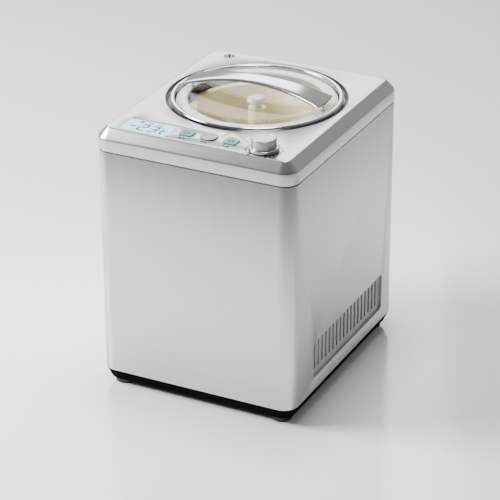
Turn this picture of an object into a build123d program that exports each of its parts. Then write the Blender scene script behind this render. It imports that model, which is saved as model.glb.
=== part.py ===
from build123d import *
import math
import os

os.makedirs("parts", exist_ok=True)

# Upright ice cream maker with its own compressor, in millimetres.
# +Z is up and +Y is the back. The origin is on the floor, under the middle of the casing.

# ---- casing ----
body_width = 275.0
body_depth = 324.0
deck_height = 360.0
casing_radius = 20.0
foot_height = 6.5
foot_radius = 14.0
foot_stem = 4.0
foot_inset = 24.0
pillar_step = 22.0
tray_height = 16.0
tray_draft = 7.5
tray_floor = 3.0
lip_thickness = 2.0
lip_height = 6.0
shell_thickness = 1.2
pillar_radius = 5.0
pillar_screw = 2.0
pillar_bore = 12.0
floor_slot = 46.0
floor_slot_y = 45.0
frame_wall = 2.5
frame_band = 16.0
frame_chamfer = 11.0
frame_chamfer_height = 12.5
seam_gap = 1.2
fit_gap = 0.2
contact_gap = 0.1
deck_thickness = 2.5

# ---- lid, bowl and well, all on one upright axis ----
well_y = 20.0
lid_moat_gap = 3.0
bead_width = 6.0
bead_rise = 2.5
bead_foot = 6.0
moat_width = 6.0
moat_depth = 4.0
lid_rim_width = 13.5
lid_rim_height = 11.0
lid_seat_drop = 3.0
window_drop = 2.0
window_thickness = 2.5
spigot_gap = 0.6
spigot_depth = 8.0
gasket_thickness = 1.4
handle_rise = 18.0
handle_inset = 4.0
handle_pad_length = 9.5
handle_screw_inset = 9.0
handle_thickness = 5.0
handle_width = 30.0
handle_end_width = 46.0
bowl_radius = 78.5
bowl_wall = 1.5
bowl_depth = 142.0
bowl_rim_width = 7.5
bowl_rim_gap = 2.5
bowl_rim_drop = 10.2
bowl_corner = 10.0
well_gap = 1.5
well_wall = 1.5
well_floor_gap = 3.5
well_flange = 14.0
collar_wall = 2.0
collar_seat_thickness = 2.5
coil_tube = 6.0
coil_turns = 9
coil_tail = 12.0
riser_radius = 2.5
foam_thickness = 14.0
foam_floor = 11.0
foam_gap = 0.3

# ---- drive ----
shaft_radius = 5.0
running_gap = 0.05
tube_gap = 1.5
tube_wall = 1.5
sleeve_gap = 0.5
sleeve_wall = 2.5
hex_width = 8.0
hex_gap = 0.3
hex_height = 12.0
blade_gap = 3.0
blade_thickness = 4.0
blade_post = 9.0
blade_arm = 9.0
blade_slope = 14.0
cap_radius = 13.0
cap_gap = 3.5
cap_thickness = 7.0
cap_round = 5.0
cap_stem_radius = 5.5
cap_stem_length = 7.0
cap_peg = 4.0
cap_peg_radius = 3.0
gear_module = 1.5
gear_teeth = 54
pinion_teeth = 18
gear_width = 10.0
pinion_width = 13.0
tooth_play = 0.12
pressure_angle = math.radians(20)
motor_angle = math.radians(-45)
motor_radius = 25.0
motor_height = 66.0
motor_shaft_radius = 3.0
motor_boss = 7.9
case_screw_room = 1.5
hub_radius = 10.0
hub_rise = 6.0
plate_thickness = 3.0
plate_inset = 4.5
bearing_radius = 8.9
bearing_flange = 5.0
bearing_flange_thickness = 1.6
bearing_overhang = 3.0
case_wall = 2.5
case_depth = 33.0

# ---- cooling machinery ----
compressor_radius = 47.0
compressor_height = 112.0
compressor_x = -55.0
compressor_y = 75.0
grommet_height = 12.0
grommet_radius = 8.0
grommet_neck = 6.0
mount_bolt = 3.0
mount_span = 41.0
pipe_radius = 2.5
pipe_bend = 8.0
pipe_loop = 22.0
capillary_radius = 1.5
drier_x = -100.0
drier_y = -40.0
drier_low = 66.0
drier_radius = 9.0
drier_length = 60.0
drier_cone = 8.0
pipe_out = (24.0, 10.0)
condenser_size = (22.0, 170.0, 62.0)
condenser_x = 111.0
condenser_y = 12.0
condenser_floor = 30.0
fan_size = 80.0
fan_thickness = 25.0
fan_x = 82.0
fan_y = 22.0
fan_floor = 24.0
fan_hub = 15.0
fan_pin = 2.5
fan_blades = 7
fan_blade_chord = 17.0
fan_blade_pitch = 38.0

# ---- side grilles ----
grille_length = 216.0
grille_height = 52.0
grille_y = 11.0
grille_floor = 40.0
grille_depth = 2.5
grille_wall = 2.5
grille_flange = 6.0
grille_corner = 6.0
slot_count = 18
slot_pitch = 11.3
slot_width = 5.0
slot_length = 38.0
slot_y = 10.0
slot_z = 67.5

# ---- rear cover ----
rear_margin = 30.5
rear_head = 26.3
rear_corner = 6.0
rear_floor = 42.0
rear_overlap = 9.0
rear_thickness = 2.5
rear_vent_high = 62.0
rear_vent_low = -72.0
rear_vent_pitch = 10.0
rear_vent_count = 7
rear_vent_length = 120.0
rear_vent_width = 4.0
gland_x = -80.0
gland_rise = 26.0
gland_bore = 4.2
gland_radius = 8.0
screw_radius = 1.5
screw_head = 3.0
supply_y = -30.0
supply_z = 140.0

# ---- control row ----
panel_y = -126.0
display_x = -77.0
display_y = -129.0
display_width = 66.0
display_depth = 35.0
display_proud = 0.3
window_glass = 2.0
lit_button_width = 18.0
lit_button_depth = 16.0
power_x = -23.0
power_y = -126.0
start_x = 37.4
start_y = -126.0
menu_x = 7.0
menu_y = -125.0
menu_radius = 9.7
button_rise = 1.2
button_skirt = 3.0
button_travel = 1.5
button_gap = 0.4
knob_x = 84.0
knob_y = -130.5
knob_skirt_radius = 19.0
knob_radius = 15.5
knob_height = 17.0
knob_skirt_height = 3.7
knob_shaft_radius = 3.0
bush_radius = 4.5
board_drop = 13.4
board_thickness = 1.6
board_margin = 16.5
board_depth = 42.0
board_post_inset = 5.0
switch_height = 4.4
bush_rise = 1.0

# ---- heights that follow ----
tray_top = foot_height + tray_height
frame_bottom = deck_height - frame_band - frame_chamfer_height
shell_top = frame_bottom - seam_gap
deck_under = deck_height - deck_thickness
display_under = deck_height + display_proud - window_glass
board_top = deck_height - board_drop
bush_top = deck_height + bush_rise
lid_seat = deck_height - lid_seat_drop
lid_rim_top = lid_seat + lid_rim_height
window_top = lid_rim_top - window_drop
window_under = window_top - window_thickness
bowl_rim_top = lid_seat - bowl_rim_drop
cap_top = window_under - cap_gap
rear_width = body_width - 2 * rear_margin
rear_height = shell_top - rear_head - rear_floor
board_width = body_width - 2 * board_margin
inner_x = body_width / 2 - shell_thickness
inner_y = body_depth / 2 - shell_thickness
bowl_rim_under = bowl_rim_top - bowl_wall
bowl_floor = bowl_rim_top - bowl_depth
well_top = bowl_rim_under - 0.1
well_inner = bowl_radius + well_gap
well_outer = well_inner + well_wall
well_floor = bowl_floor - well_floor_gap
well_bottom = well_floor - well_wall
coil_radius = well_outer + coil_tube / 2 + fit_gap
foam_inner = coil_radius + coil_tube / 2 + 1.5
foam_outer = foam_inner + foam_thickness
foam_bottom = well_bottom - foam_floor
plate_top = foam_bottom - fit_gap
plate_under = plate_top - plate_thickness
case_bottom = plate_under - case_depth
collar_bore = bowl_radius + bowl_rim_width + bowl_rim_gap
lid_radius = collar_bore + lid_rim_width
handle_reach = lid_radius - handle_inset
handle_pad = handle_reach - handle_pad_length
handle_screw_x = lid_radius - handle_screw_inset
bead_inner = lid_radius + lid_moat_gap
bead_outer = bead_inner + bead_width
bead_radius = bead_inner + bead_width / 2
moat_outer = bead_outer + moat_width
tube_inner = shaft_radius + tube_gap
tube_outer = tube_inner + tube_wall
sleeve_inner = tube_outer + sleeve_gap
sleeve_outer = sleeve_inner + sleeve_wall
cap_seat = cap_top - cap_thickness - cap_stem_length
hex_top = cap_seat - 6.0
hex_bottom = hex_top - hex_height
tube_top = hex_bottom - 6.0
case_floor = case_bottom + case_wall
gear_bottom = case_floor + 5.0
pinion_bottom = gear_bottom - 1.5
gear_pitch = gear_module * gear_teeth / 2
pinion_pitch = gear_module * pinion_teeth / 2
motor_x = (gear_pitch + pinion_pitch) * math.cos(motor_angle)
motor_y = well_y + (gear_pitch + pinion_pitch) * math.sin(motor_angle)
motor_bottom = case_bottom - motor_height
foot_x = body_width / 2 - foot_inset
foot_y = body_depth / 2 - foot_inset + 2.0
pillar_x = foot_x
pillar_y = foot_y - pillar_step
rear_face = inner_y - 0.1
case_screw_ring = gear_pitch + gear_module + 7.5
tail_end = plate_under - coil_tail
board_post_x = board_width / 2 - board_post_inset
board_post_front = panel_y - board_depth / 2 + 4
board_post_back = panel_y + board_depth / 2 - 4
rear_screw_x = rear_width / 2 - 12.0
rear_low_z = rear_floor - rear_overlap + 16.0
rear_high_z = rear_floor + rear_height + rear_overlap - 14.0


well_plane = Plane(origin=(0, well_y, 0), x_dir=(1, 0, 0), z_dir=(0, -1, 0))
well_axis = Axis((0, well_y, 0), (0, 0, 1))
base_up = (Align.CENTER, Align.CENTER, Align.MIN)
diagonal = math.sqrt(0.5)


def save(part, name):
    """Names one finished piece and writes it."""
    part.label = name
    export_step(part, f"parts/{name}.step")


def turned_face(points):
    """Face of (radius, height) points in the half plane of the well axis."""
    with BuildSketch(well_plane) as section:
        with BuildLine():
            Polyline(*points, close=True)
        make_face()
    return section.sketch


def casing_outline(inset, height):
    """Rounded rectangle of the casing, drawn in by inset, at one height."""
    with BuildSketch(Plane.XY.offset(height)) as outline:
        RectangleRounded(body_width - 2 * inset, body_depth - 2 * inset, casing_radius - inset)
    return outline.sketch


def disc_spots(radius, count, start=0.0):
    """Points spread evenly round the well axis."""
    angles = [start + 2 * math.pi * k / count for k in range(count)]
    return [(radius * math.cos(a), well_y + radius * math.sin(a)) for a in angles]


# ---------------- base tray and feet ----------------
tray_wall = shell_thickness + fit_gap + lip_thickness
lip_inset = shell_thickness + fit_gap
draft_angle = math.degrees(math.atan(tray_draft / tray_height))
floor_top = foot_height + tray_floor
post_back = rear_face - rear_thickness - fit_gap
post_size = (14.0, 12.0)
post_spots = [(x, post_back - post_size[1] / 2) for x in (-rear_screw_x, rear_screw_x)]
pillar_spots = [(x, y) for x in (-pillar_x, pillar_x) for y in (-pillar_y, pillar_y)]
foot_spots = [(x, y) for x in (-foot_x, foot_x) for y in (-foot_y, foot_y)]

with BuildPart() as base_tray:
    extrude(casing_outline(0, tray_top), amount=-tray_height, taper=draft_angle)
    extrude(casing_outline(tray_wall, tray_top), amount=tray_floor - tray_height, taper=draft_angle,
            mode=Mode.SUBTRACT)
    # upstanding lip that the casing drops over
    extrude(casing_outline(lip_inset, tray_top), amount=lip_height)
    extrude(casing_outline(tray_wall, tray_top), amount=lip_height, mode=Mode.SUBTRACT)
    # screw posts for the rear cover
    with BuildSketch(Plane.XY.offset(tray_top)):
        with Locations(*post_spots):
            Rectangle(*post_size)
    extrude(amount=rear_low_z + 8 - tray_top)
    with BuildSketch(Plane.XY.offset(floor_top)):
        with Locations(*post_spots):
            with Locations((0, -post_size[1] / 4)):
                Rectangle(post_size[0], post_size[1] / 2)
    extrude(amount=tray_top - floor_top)
    with BuildSketch(Plane(origin=(0, post_back, rear_low_z), x_dir=(1, 0, 0), z_dir=(0, -1, 0))):
        with Locations((-rear_screw_x, 0), (rear_screw_x, 0)):
            Circle(screw_radius + running_gap)
    extrude(amount=post_size[1] - 2, mode=Mode.SUBTRACT)
    # holes for the feet and the pillar screws, and cooling slots
    with BuildSketch(Plane.XY.offset(foot_height)):
        with Locations(*foot_spots):
            Circle(foot_stem + fit_gap)
        with Locations(*pillar_spots):
            Circle(pillar_screw + fit_gap)
        with GridLocations(15, 2 * floor_slot_y, 10, 2):
            SlotOverall(floor_slot, 5, rotation=90)
    extrude(amount=tray_floor, mode=Mode.SUBTRACT)
save(base_tray.part, "base_tray")

with BuildPart() as rubber_feet:
    with Locations(*[(x, y, 0) for x, y in foot_spots]):
        Cylinder(foot_radius, foot_height, align=base_up)
        Cylinder(foot_stem, floor_top + 0.5, align=base_up)
    with Locations(*[(x, y, floor_top + 0.1) for x, y in foot_spots]):
        Cone(foot_stem + 2.5, foot_stem, 4, align=base_up)
    chamfer(rubber_feet.faces().filter_by(Axis.Z).sort_by(Axis.Z)[:4].edges(), 1.2)
save(rubber_feet.part, "rubber_feet")

with BuildPart() as base_screws:
    with Locations(*[(x, y, foot_height - 2.2) for x, y in pillar_spots]):
        Cylinder(pillar_screw * 2, 2.2, align=base_up)
        Cylinder(pillar_screw, 2.2 + tray_floor + pillar_bore - 1, align=base_up)
        Cylinder(1.4, 1.2, align=base_up, mode=Mode.SUBTRACT)
save(base_screws.part, "base_screws")

# ---------------- inner chassis ----------------
with BuildPart() as chassis_pillars:
    with Locations(*[(x, y, floor_top) for x, y in pillar_spots]):
        Cylinder(pillar_radius, plate_under - floor_top, align=base_up)
        Cylinder(pillar_screw + running_gap, pillar_bore, align=base_up, mode=Mode.SUBTRACT)
    with Locations(*[(x, y, plate_under - pillar_bore) for x, y in pillar_spots]):
        Cylinder(pillar_screw + running_gap, pillar_bore, align=base_up, mode=Mode.SUBTRACT)
save(chassis_pillars.part, "chassis_pillars")

tail_angles = (math.radians(150), math.radians(190))
tail_spots = [(coil_radius * math.cos(a), well_y + coil_radius * math.sin(a)) for a in tail_angles]
case_screw_spots = disc_spots(case_screw_ring, 3, math.radians(75))

with BuildPart() as chassis_plate:
    extrude(casing_outline(plate_inset, plate_under), amount=plate_thickness)
    with BuildSketch(Plane.XY.offset(plate_under)):
        with Locations((0, well_y)):
            Circle(bearing_radius + running_gap)
        with Locations(*pillar_spots):
            Circle(pillar_screw + fit_gap)
        with Locations(*tail_spots):
            Circle(coil_tube / 2 + 1)
        with Locations(*case_screw_spots):
            Circle(screw_radius + running_gap)
    extrude(amount=plate_thickness, mode=Mode.SUBTRACT)
save(chassis_plate.part, "chassis_plate")

with BuildPart() as chassis_screws:
    with Locations(*[(x, y, plate_top) for x, y in pillar_spots]):
        Cylinder(pillar_screw * 2, 2.2, align=base_up)
    with Locations(*[(x, y, plate_under - pillar_bore + 1) for x, y in pillar_spots]):
        Cylinder(pillar_screw, plate_thickness + pillar_bore - 1, align=base_up)
save(chassis_screws.part, "chassis_screws")

# ---------------- body shell and side grilles ----------------
grille_mid_z = grille_floor + grille_height / 2
rear_mid_z = rear_floor + rear_height / 2

with BuildPart() as body_shell:
    extrude(casing_outline(0, tray_top), amount=shell_top - tray_top)
    extrude(casing_outline(shell_thickness, tray_top), amount=shell_top - tray_top, mode=Mode.SUBTRACT)
    with BuildSketch(Plane(origin=(0, grille_y, grille_mid_z), x_dir=(0, 1, 0), z_dir=(1, 0, 0))):
        RectangleRounded(grille_length, grille_height, grille_corner)
    extrude(amount=body_width, both=True, mode=Mode.SUBTRACT)
    with BuildSketch(Plane(origin=(0, 0, rear_mid_z), x_dir=(-1, 0, 0), z_dir=(0, 1, 0))):
        RectangleRounded(rear_width, rear_height, rear_corner)
    extrude(amount=body_depth, mode=Mode.SUBTRACT)
save(body_shell.part, "body_shell")


def side_grille(side, name):
    """Moulded grille that closes one side opening from inside, its slotted floor set back."""
    face_x = side * (inner_x - contact_gap)
    outer = Plane(origin=(face_x, grille_y, grille_mid_z), x_dir=(0, 1, 0), z_dir=(side, 0, 0))
    outer_length = grille_length + 2 * grille_flange
    outer_height = grille_height + 2 * grille_flange
    with BuildPart() as grille:
        with BuildSketch(outer):
            RectangleRounded(outer_length, outer_height, grille_corner)
        extrude(amount=-grille_depth - grille_wall)
        with BuildSketch(outer):
            RectangleRounded(grille_length, grille_height, grille_corner)
        extrude(amount=-grille_depth, mode=Mode.SUBTRACT)
        with BuildSketch(outer.offset(-grille_depth)):
            with Locations((slot_y - grille_y, slot_z - grille_mid_z)):
                with GridLocations(slot_pitch, 1, slot_count, 1):
                    SlotOverall(slot_length, slot_width, rotation=90)
        extrude(amount=-grille_wall, mode=Mode.SUBTRACT)
    save(grille.part, name)


side_grille(1, "right_side_grille")
side_grille(-1, "left_side_grille")

# ---------------- rear cover ----------------
rear_plane = Plane(origin=(0, rear_face, rear_mid_z), x_dir=(-1, 0, 0), z_dir=(0, 1, 0))
rear_screw_spots = [(x, z - rear_mid_z) for x in (-rear_screw_x, rear_screw_x)
                    for z in (rear_low_z, rear_high_z)]
gland_z = rear_floor + gland_rise

with BuildPart() as rear_cover:
    with BuildSketch(rear_plane):
        RectangleRounded(rear_width + 2 * rear_overlap, rear_height + 2 * rear_overlap, rear_corner + 2)
        with Locations((0, rear_vent_high), (0, rear_vent_low)):
            with GridLocations(1, rear_vent_pitch, 1, rear_vent_count):
                SlotOverall(rear_vent_length, rear_vent_width, mode=Mode.SUBTRACT)
        with Locations((-gland_x, gland_z - rear_mid_z)):
            Circle(gland_radius + running_gap, mode=Mode.SUBTRACT)
        with Locations(*rear_screw_spots):
            Circle(screw_radius + running_gap, mode=Mode.SUBTRACT)
    extrude(amount=-rear_thickness)
    with Locations(*[rear_plane * Location((x, z, -1.9)) for x, z in rear_screw_spots]):
        Cone(screw_radius, screw_head + 0.4, 1.9, align=base_up, mode=Mode.SUBTRACT)
save(rear_cover.part, "rear_cover")

with BuildPart() as rear_cover_screws:
    with Locations(*[rear_plane * Location((x, z, -rear_thickness - 8)) for x, z in rear_screw_spots]):
        Cylinder(screw_radius, rear_thickness + 7, align=base_up)
    with Locations(*[rear_plane * Location((x, z, -1.6)) for x, z in rear_screw_spots]):
        Cone(screw_radius, screw_head, 1.5, align=base_up)
    with Locations(*[rear_plane * Location((x, z, -1.0)) for x, z in rear_screw_spots]):
        Box(3.4, 0.8, 1.2, align=base_up, mode=Mode.SUBTRACT)
        Box(0.8, 3.4, 1.2, align=base_up, mode=Mode.SUBTRACT)
save(rear_cover_screws.part, "rear_cover_screws")

gland_plane = Plane(origin=(gland_x, rear_face, gland_z), x_dir=(-1, 0, 0), z_dir=(0, 1, 0))
with BuildPart() as cord_gland:
    with BuildSketch(gland_plane):
        Circle(gland_radius + 3)
    extrude(amount=shell_thickness - 0.1)
    with BuildSketch(gland_plane.offset(-rear_thickness - 6)):
        Circle(gland_radius)
    extrude(amount=rear_thickness + 6)
    with BuildSketch(gland_plane.offset(-rear_thickness - fit_gap)):
        Circle(gland_radius + 1)
    extrude(amount=-3, taper=20)
    with BuildSketch(gland_plane.offset(-rear_thickness - 6)):
        Circle(gland_bore)
    extrude(amount=rear_thickness + 6 + shell_thickness, mode=Mode.SUBTRACT)
save(cord_gland.part, "cord_gland")

# ---------------- top frame and its openings ----------------
chamfer_angle = math.degrees(math.atan(frame_chamfer / frame_chamfer_height))
band_top = frame_bottom + frame_band
inner_band_top = band_top - 1.5
button_hole_gap = 2 * button_gap
board_posts = [(x, y) for x in (-board_post_x, board_post_x) for y in (board_post_front, board_post_back)]

with BuildPart() as top_frame:
    extrude(casing_outline(0, frame_bottom), amount=frame_band)
    extrude(casing_outline(0, band_top), amount=frame_chamfer_height, taper=chamfer_angle)
    extrude(casing_outline(frame_wall, frame_bottom), amount=inner_band_top - frame_bottom,
            mode=Mode.SUBTRACT)
    extrude(casing_outline(frame_wall, inner_band_top), amount=deck_under - inner_band_top,
            taper=chamfer_angle, mode=Mode.SUBTRACT)
    # skirt that drops inside the casing
    extrude(casing_outline(lip_inset, shell_top - lip_height), amount=lip_height + seam_gap + 2)
    extrude(casing_outline(tray_wall, shell_top - lip_height), amount=lip_height + seam_gap + 2.5,
            mode=Mode.SUBTRACT)
    # screw posts for the rear cover and standoffs for the control board
    with BuildSketch(Plane.XY.offset(rear_high_z - 8)):
        with Locations(*post_spots):
            Rectangle(*post_size)
    extrude(amount=inner_band_top - rear_high_z + 8)
    with BuildSketch(Plane.XY.offset(frame_bottom + 1)):
        with Locations(*[(x, y + frame_wall) for x, y in post_spots]):
            Rectangle(*post_size)
    extrude(amount=inner_band_top - frame_bottom - 1)
    with BuildSketch(Plane(origin=(0, post_back, rear_high_z), x_dir=(1, 0, 0), z_dir=(0, -1, 0))):
        with Locations((-rear_screw_x, 0), (rear_screw_x, 0)):
            Circle(screw_radius + running_gap)
    extrude(amount=post_size[1] - 2, mode=Mode.SUBTRACT)
    with Locations(*[(x, y, board_top) for x, y in board_posts]):
        Cylinder(3, deck_under + 1 - board_top, align=base_up)
    # openings in the deck
    with BuildSketch(Plane.XY.offset(deck_under)):
        with Locations((0, well_y)):
            Circle(moat_outer + 0.6)
        with Locations((display_x, display_y)):
            RectangleRounded(display_width + 2 * fit_gap, display_depth + 2 * fit_gap, 2)
        with Locations((power_x, power_y), (start_x, start_y)):
            RectangleRounded(lit_button_width + button_hole_gap, lit_button_depth + button_hole_gap, 3.4)
        with Locations((menu_x, menu_y)):
            Circle(menu_radius + button_gap)
        with Locations((knob_x, knob_y)):
            Circle(bush_radius + fit_gap)
    extrude(amount=deck_thickness, mode=Mode.SUBTRACT)
save(top_frame.part, "top_frame")

with BuildPart() as moat_ring:
    moat_floor = deck_height - moat_depth
    revolve(turned_face([(bead_outer + 0.3, moat_floor - 2.5), (bead_outer + 0.3, moat_floor),
                         (moat_outer, deck_height), (moat_outer + 0.5, deck_height),
                         (moat_outer + 0.5, deck_under - 0.2), (moat_outer + 4.5, deck_under - 0.2),
                         (moat_outer + 4.5, deck_under - 1.7), (moat_outer - 1.5, deck_under - 1.7),
                         (bead_outer + 1.8, moat_floor - 2.5)]), axis=well_axis)
save(moat_ring.part, "moat_ring")

with BuildPart() as bezel_ring:
    with BuildSketch(well_plane):
        with BuildLine():
            bead_shoulder = deck_height - 0.5
            Polyline((bead_inner, bead_shoulder), (bead_inner, moat_floor - bead_foot),
                     (bead_outer, moat_floor - bead_foot), (bead_outer, bead_shoulder))
            ThreePointArc((bead_outer, bead_shoulder), (bead_radius, deck_height + bead_rise),
                          (bead_inner, bead_shoulder))
        make_face()
    revolve(axis=well_axis)
save(bezel_ring.part, "bezel_ring")

# ---------------- cold well ----------------
with BuildPart() as well_collar:
    collar_foot = well_top + 0.1
    collar_outer = bead_inner - 0.3
    seat_under = lid_seat - collar_seat_thickness
    inner_web = collar_bore + collar_wall
    outer_web = collar_outer - collar_wall
    revolve(turned_face([(collar_bore, collar_foot), (inner_web, collar_foot), (inner_web, seat_under),
                         (outer_web, seat_under), (outer_web, collar_foot), (collar_outer, collar_foot),
                         (collar_outer, lid_seat), (collar_bore, lid_seat)]), axis=well_axis)
save(well_collar.part, "well_collar")

with BuildPart() as cooling_well:
    hub_hole = bearing_radius + 0.4
    flange_edge = well_outer + well_flange
    flange_under = well_top - well_wall
    revolve(turned_face([(hub_hole, well_bottom), (well_outer, well_bottom), (well_outer, flange_under),
                         (flange_edge, flange_under), (flange_edge, well_top), (well_inner, well_top),
                         (well_inner, well_floor), (hub_hole, well_floor)]), axis=well_axis)
save(cooling_well.part, "cooling_well")

with BuildPart() as insulation_shell:
    foam_top = flange_under - foam_gap
    foam_seat = well_bottom - foam_gap
    revolve(turned_face([(hub_hole, foam_bottom), (foam_outer, foam_bottom), (foam_outer, foam_top),
                         (foam_inner, foam_top), (foam_inner, foam_seat), (hub_hole, foam_seat)]),
            axis=well_axis)
    with BuildSketch(Plane.XY.offset(foam_bottom)):
        with Locations(*tail_spots):
            Circle(coil_tube / 2 + 1)
    extrude(amount=foam_floor, mode=Mode.SUBTRACT)
save(insulation_shell.part, "insulation_shell")

coil_low = well_floor + 10
coil_pitch = (well_top - 12 - coil_low) / (coil_turns - 1)
with BuildPart() as evaporator_coil:
    with Locations(*[(0, well_y, coil_low + k * coil_pitch) for k in range(coil_turns)]):
        Torus(coil_radius, coil_tube / 2)
    # risers that join one turn to the next, stepping round the well
    for k in range(coil_turns - 1):
        riser = math.radians(40 * k)
        riser_x = coil_radius * math.cos(riser)
        riser_y = well_y + coil_radius * math.sin(riser)
        with Locations((riser_x, riser_y, coil_low + k * coil_pitch)):
            Cylinder(riser_radius, coil_pitch, align=base_up)
    with Locations(*[(x, y, tail_end) for x, y in tail_spots]):
        Cylinder(riser_radius, coil_low - tail_end, align=base_up)
save(evaporator_coil.part, "evaporator_coil")

with BuildPart() as shaft_bearing:
    bush_bore = shaft_radius + running_gap
    bush_foot = plate_under - bearing_overhang
    bush_seat = well_floor + contact_gap
    bush_face = bush_seat + bearing_flange_thickness
    bush_flange = bearing_radius + bearing_flange
    revolve(turned_face([(bush_bore, bush_foot), (bearing_radius, bush_foot), (bearing_radius, bush_seat),
                         (bush_flange, bush_seat), (bush_flange, bush_face), (bush_bore, bush_face)]),
            axis=well_axis)
save(shaft_bearing.part, "shaft_bearing")

# ---------------- gear case, gears and motor ----------------
case_inner = gear_pitch + gear_module + 2
case_inner_small = pinion_pitch + gear_module + 2


def case_outline(height, grow):
    """Outline round both gears, grown by a wall or a flange."""
    with BuildSketch(Plane.XY.offset(height)) as outline:
        with Locations((0, well_y)):
            Circle(case_inner + grow)
        with Locations((motor_x, motor_y)):
            Circle(case_inner_small + grow)
        make_hull()
    return outline.sketch


motor_screw_ring = case_inner_small - screw_head - case_screw_room
motor_screw_spots = [(motor_x + motor_screw_ring * math.cos(math.radians(a)),
                      motor_y + motor_screw_ring * math.sin(math.radians(a))) for a in (45, 165, 285)]

with BuildPart() as gear_case:
    extrude(case_outline(case_bottom, case_wall), amount=case_depth - fit_gap)
    extrude(case_outline(plate_under - 3, case_wall + 7), amount=3 - fit_gap)
    with Locations((0, well_y, case_bottom - 6)):
        Cylinder(11, 8, align=base_up)
    extrude(case_outline(case_floor, 0), amount=case_depth, mode=Mode.SUBTRACT)
    with BuildSketch(Plane.XY.offset(case_bottom - 6)):
        with Locations((0, well_y)):
            Circle(shaft_radius + running_gap)
        with Locations((motor_x, motor_y)):
            Circle(motor_boss + running_gap)
        with Locations(*motor_screw_spots):
            Circle(screw_radius + running_gap)
        with Locations(*case_screw_spots):
            Circle(screw_radius + running_gap)
    extrude(amount=case_depth + 6, mode=Mode.SUBTRACT)
save(gear_case.part, "gear_case")

with BuildPart() as gear_case_screws:
    with Locations(*[(x, y, plate_under - 5.2) for x, y in case_screw_spots]):
        Cylinder(screw_head, 2.0, align=base_up)
        Cylinder(screw_radius, 7.5, align=base_up)
        Cylinder(1.0, 1.0, align=base_up, mode=Mode.SUBTRACT)
save(gear_case_screws.part, "gear_case_screws")


def gear_face(teeth, centre, height, turn):
    """Involute gear outline, thinned by the tooth play, with one tooth at the angle turn."""
    pitch = gear_module * teeth / 2
    base = pitch * math.cos(pressure_angle)
    tip = pitch + gear_module
    root = pitch - 1.25 * gear_module
    start = max(base, root)
    involute_at_pitch = math.tan(pressure_angle) - pressure_angle
    half_tooth = math.pi / (2 * teeth) - tooth_play / pitch + involute_at_pitch
    flank = []
    for k in range(5):
        radius = start + (tip - start) * k / 4
        roll = math.acos(base / radius)
        flank.append((radius, half_tooth - (math.tan(roll) - roll)))
    tooth = [(root - 0.3, half_tooth)] + flank
    points = [(r * math.cos(a), r * math.sin(a)) for r, a in tooth]
    points += [(r * math.cos(-a), r * math.sin(-a)) for r, a in reversed(tooth)]
    with BuildSketch() as one_tooth:
        with BuildLine():
            Polyline(*points, close=True)
        make_face()
    gear_plane = Plane(origin=(centre[0], centre[1], height), x_dir=(math.cos(turn), math.sin(turn), 0))
    with BuildSketch(gear_plane) as face:
        Circle(root)
        with PolarLocations(0, teeth):
            add(one_tooth.sketch)
    return face.sketch


with BuildPart() as drive_gear:
    extrude(gear_face(gear_teeth, (0, well_y), gear_bottom, motor_angle), amount=gear_width)
    with Locations((0, well_y, gear_bottom)):
        Cylinder(hub_radius, gear_width + hub_rise, align=base_up)
    with BuildSketch(Plane.XY.offset(gear_bottom + gear_width - 3)):
        with Locations((0, well_y)):
            Circle(gear_pitch - 6)
            Circle(hub_radius + 2, mode=Mode.SUBTRACT)
    extrude(amount=3, mode=Mode.SUBTRACT)
    with BuildSketch(Plane.XY.offset(gear_bottom)):
        with Locations(*disc_spots((gear_pitch + hub_radius) / 2 - 2, 6)):
            Circle(6)
        with Locations((0, well_y)):
            Circle(shaft_radius + 0.02)
    extrude(amount=gear_width + hub_rise, mode=Mode.SUBTRACT)
save(drive_gear.part, "drive_gear")

ring_bottom = gear_bottom + gear_width + hub_rise + 0.1
groove_radius = shaft_radius - 0.7
with BuildPart() as drive_shaft:
    with Locations((0, well_y, case_bottom - 5)):
        Cylinder(shaft_radius, hex_bottom - case_bottom + 5, align=base_up)
    with BuildSketch(Plane.XY.offset(hex_bottom)):
        with Locations((0, well_y)):
            RegularPolygon(hex_width / 2, 6, major_radius=False)
    extrude(amount=hex_height)
    with BuildSketch(Plane.XY.offset(ring_bottom)):
        with Locations((0, well_y)):
            Circle(shaft_radius + 1)
            Circle(groove_radius, mode=Mode.SUBTRACT)
    extrude(amount=1.0, mode=Mode.SUBTRACT)
    chamfer(drive_shaft.faces().sort_by(Axis.Z)[-1].edges(), 0.8)
save(drive_shaft.part, "drive_shaft")

with BuildPart() as retaining_ring:
    with BuildSketch(Plane.XY.offset(ring_bottom + 0.05)):
        with Locations((0, well_y)):
            Circle(shaft_radius + 3)
            Circle(groove_radius + 0.05, mode=Mode.SUBTRACT)
        with Locations((shaft_radius + 1, well_y)):
            Rectangle(8, 3, mode=Mode.SUBTRACT)
    extrude(amount=0.9)
save(retaining_ring.part, "retaining_ring")

with BuildPart() as motor_pinion:
    gap_turn = motor_angle + math.pi + math.pi / pinion_teeth
    extrude(gear_face(pinion_teeth, (motor_x, motor_y), pinion_bottom, gap_turn), amount=pinion_width)
    with Locations((motor_x, motor_y, pinion_bottom)):
        Cylinder(motor_shaft_radius + 0.02, pinion_width, align=base_up, mode=Mode.SUBTRACT)
save(motor_pinion.part, "motor_pinion")

with BuildPart() as motor_shaft:
    with Locations((motor_x, motor_y, motor_bottom + 12)):
        Cylinder(motor_shaft_radius, pinion_bottom + pinion_width + 1 - motor_bottom - 12, align=base_up)
    chamfer(motor_shaft.faces().sort_by(Axis.Z)[-1].edges(), 0.6)
save(motor_shaft.part, "motor_shaft")

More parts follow.
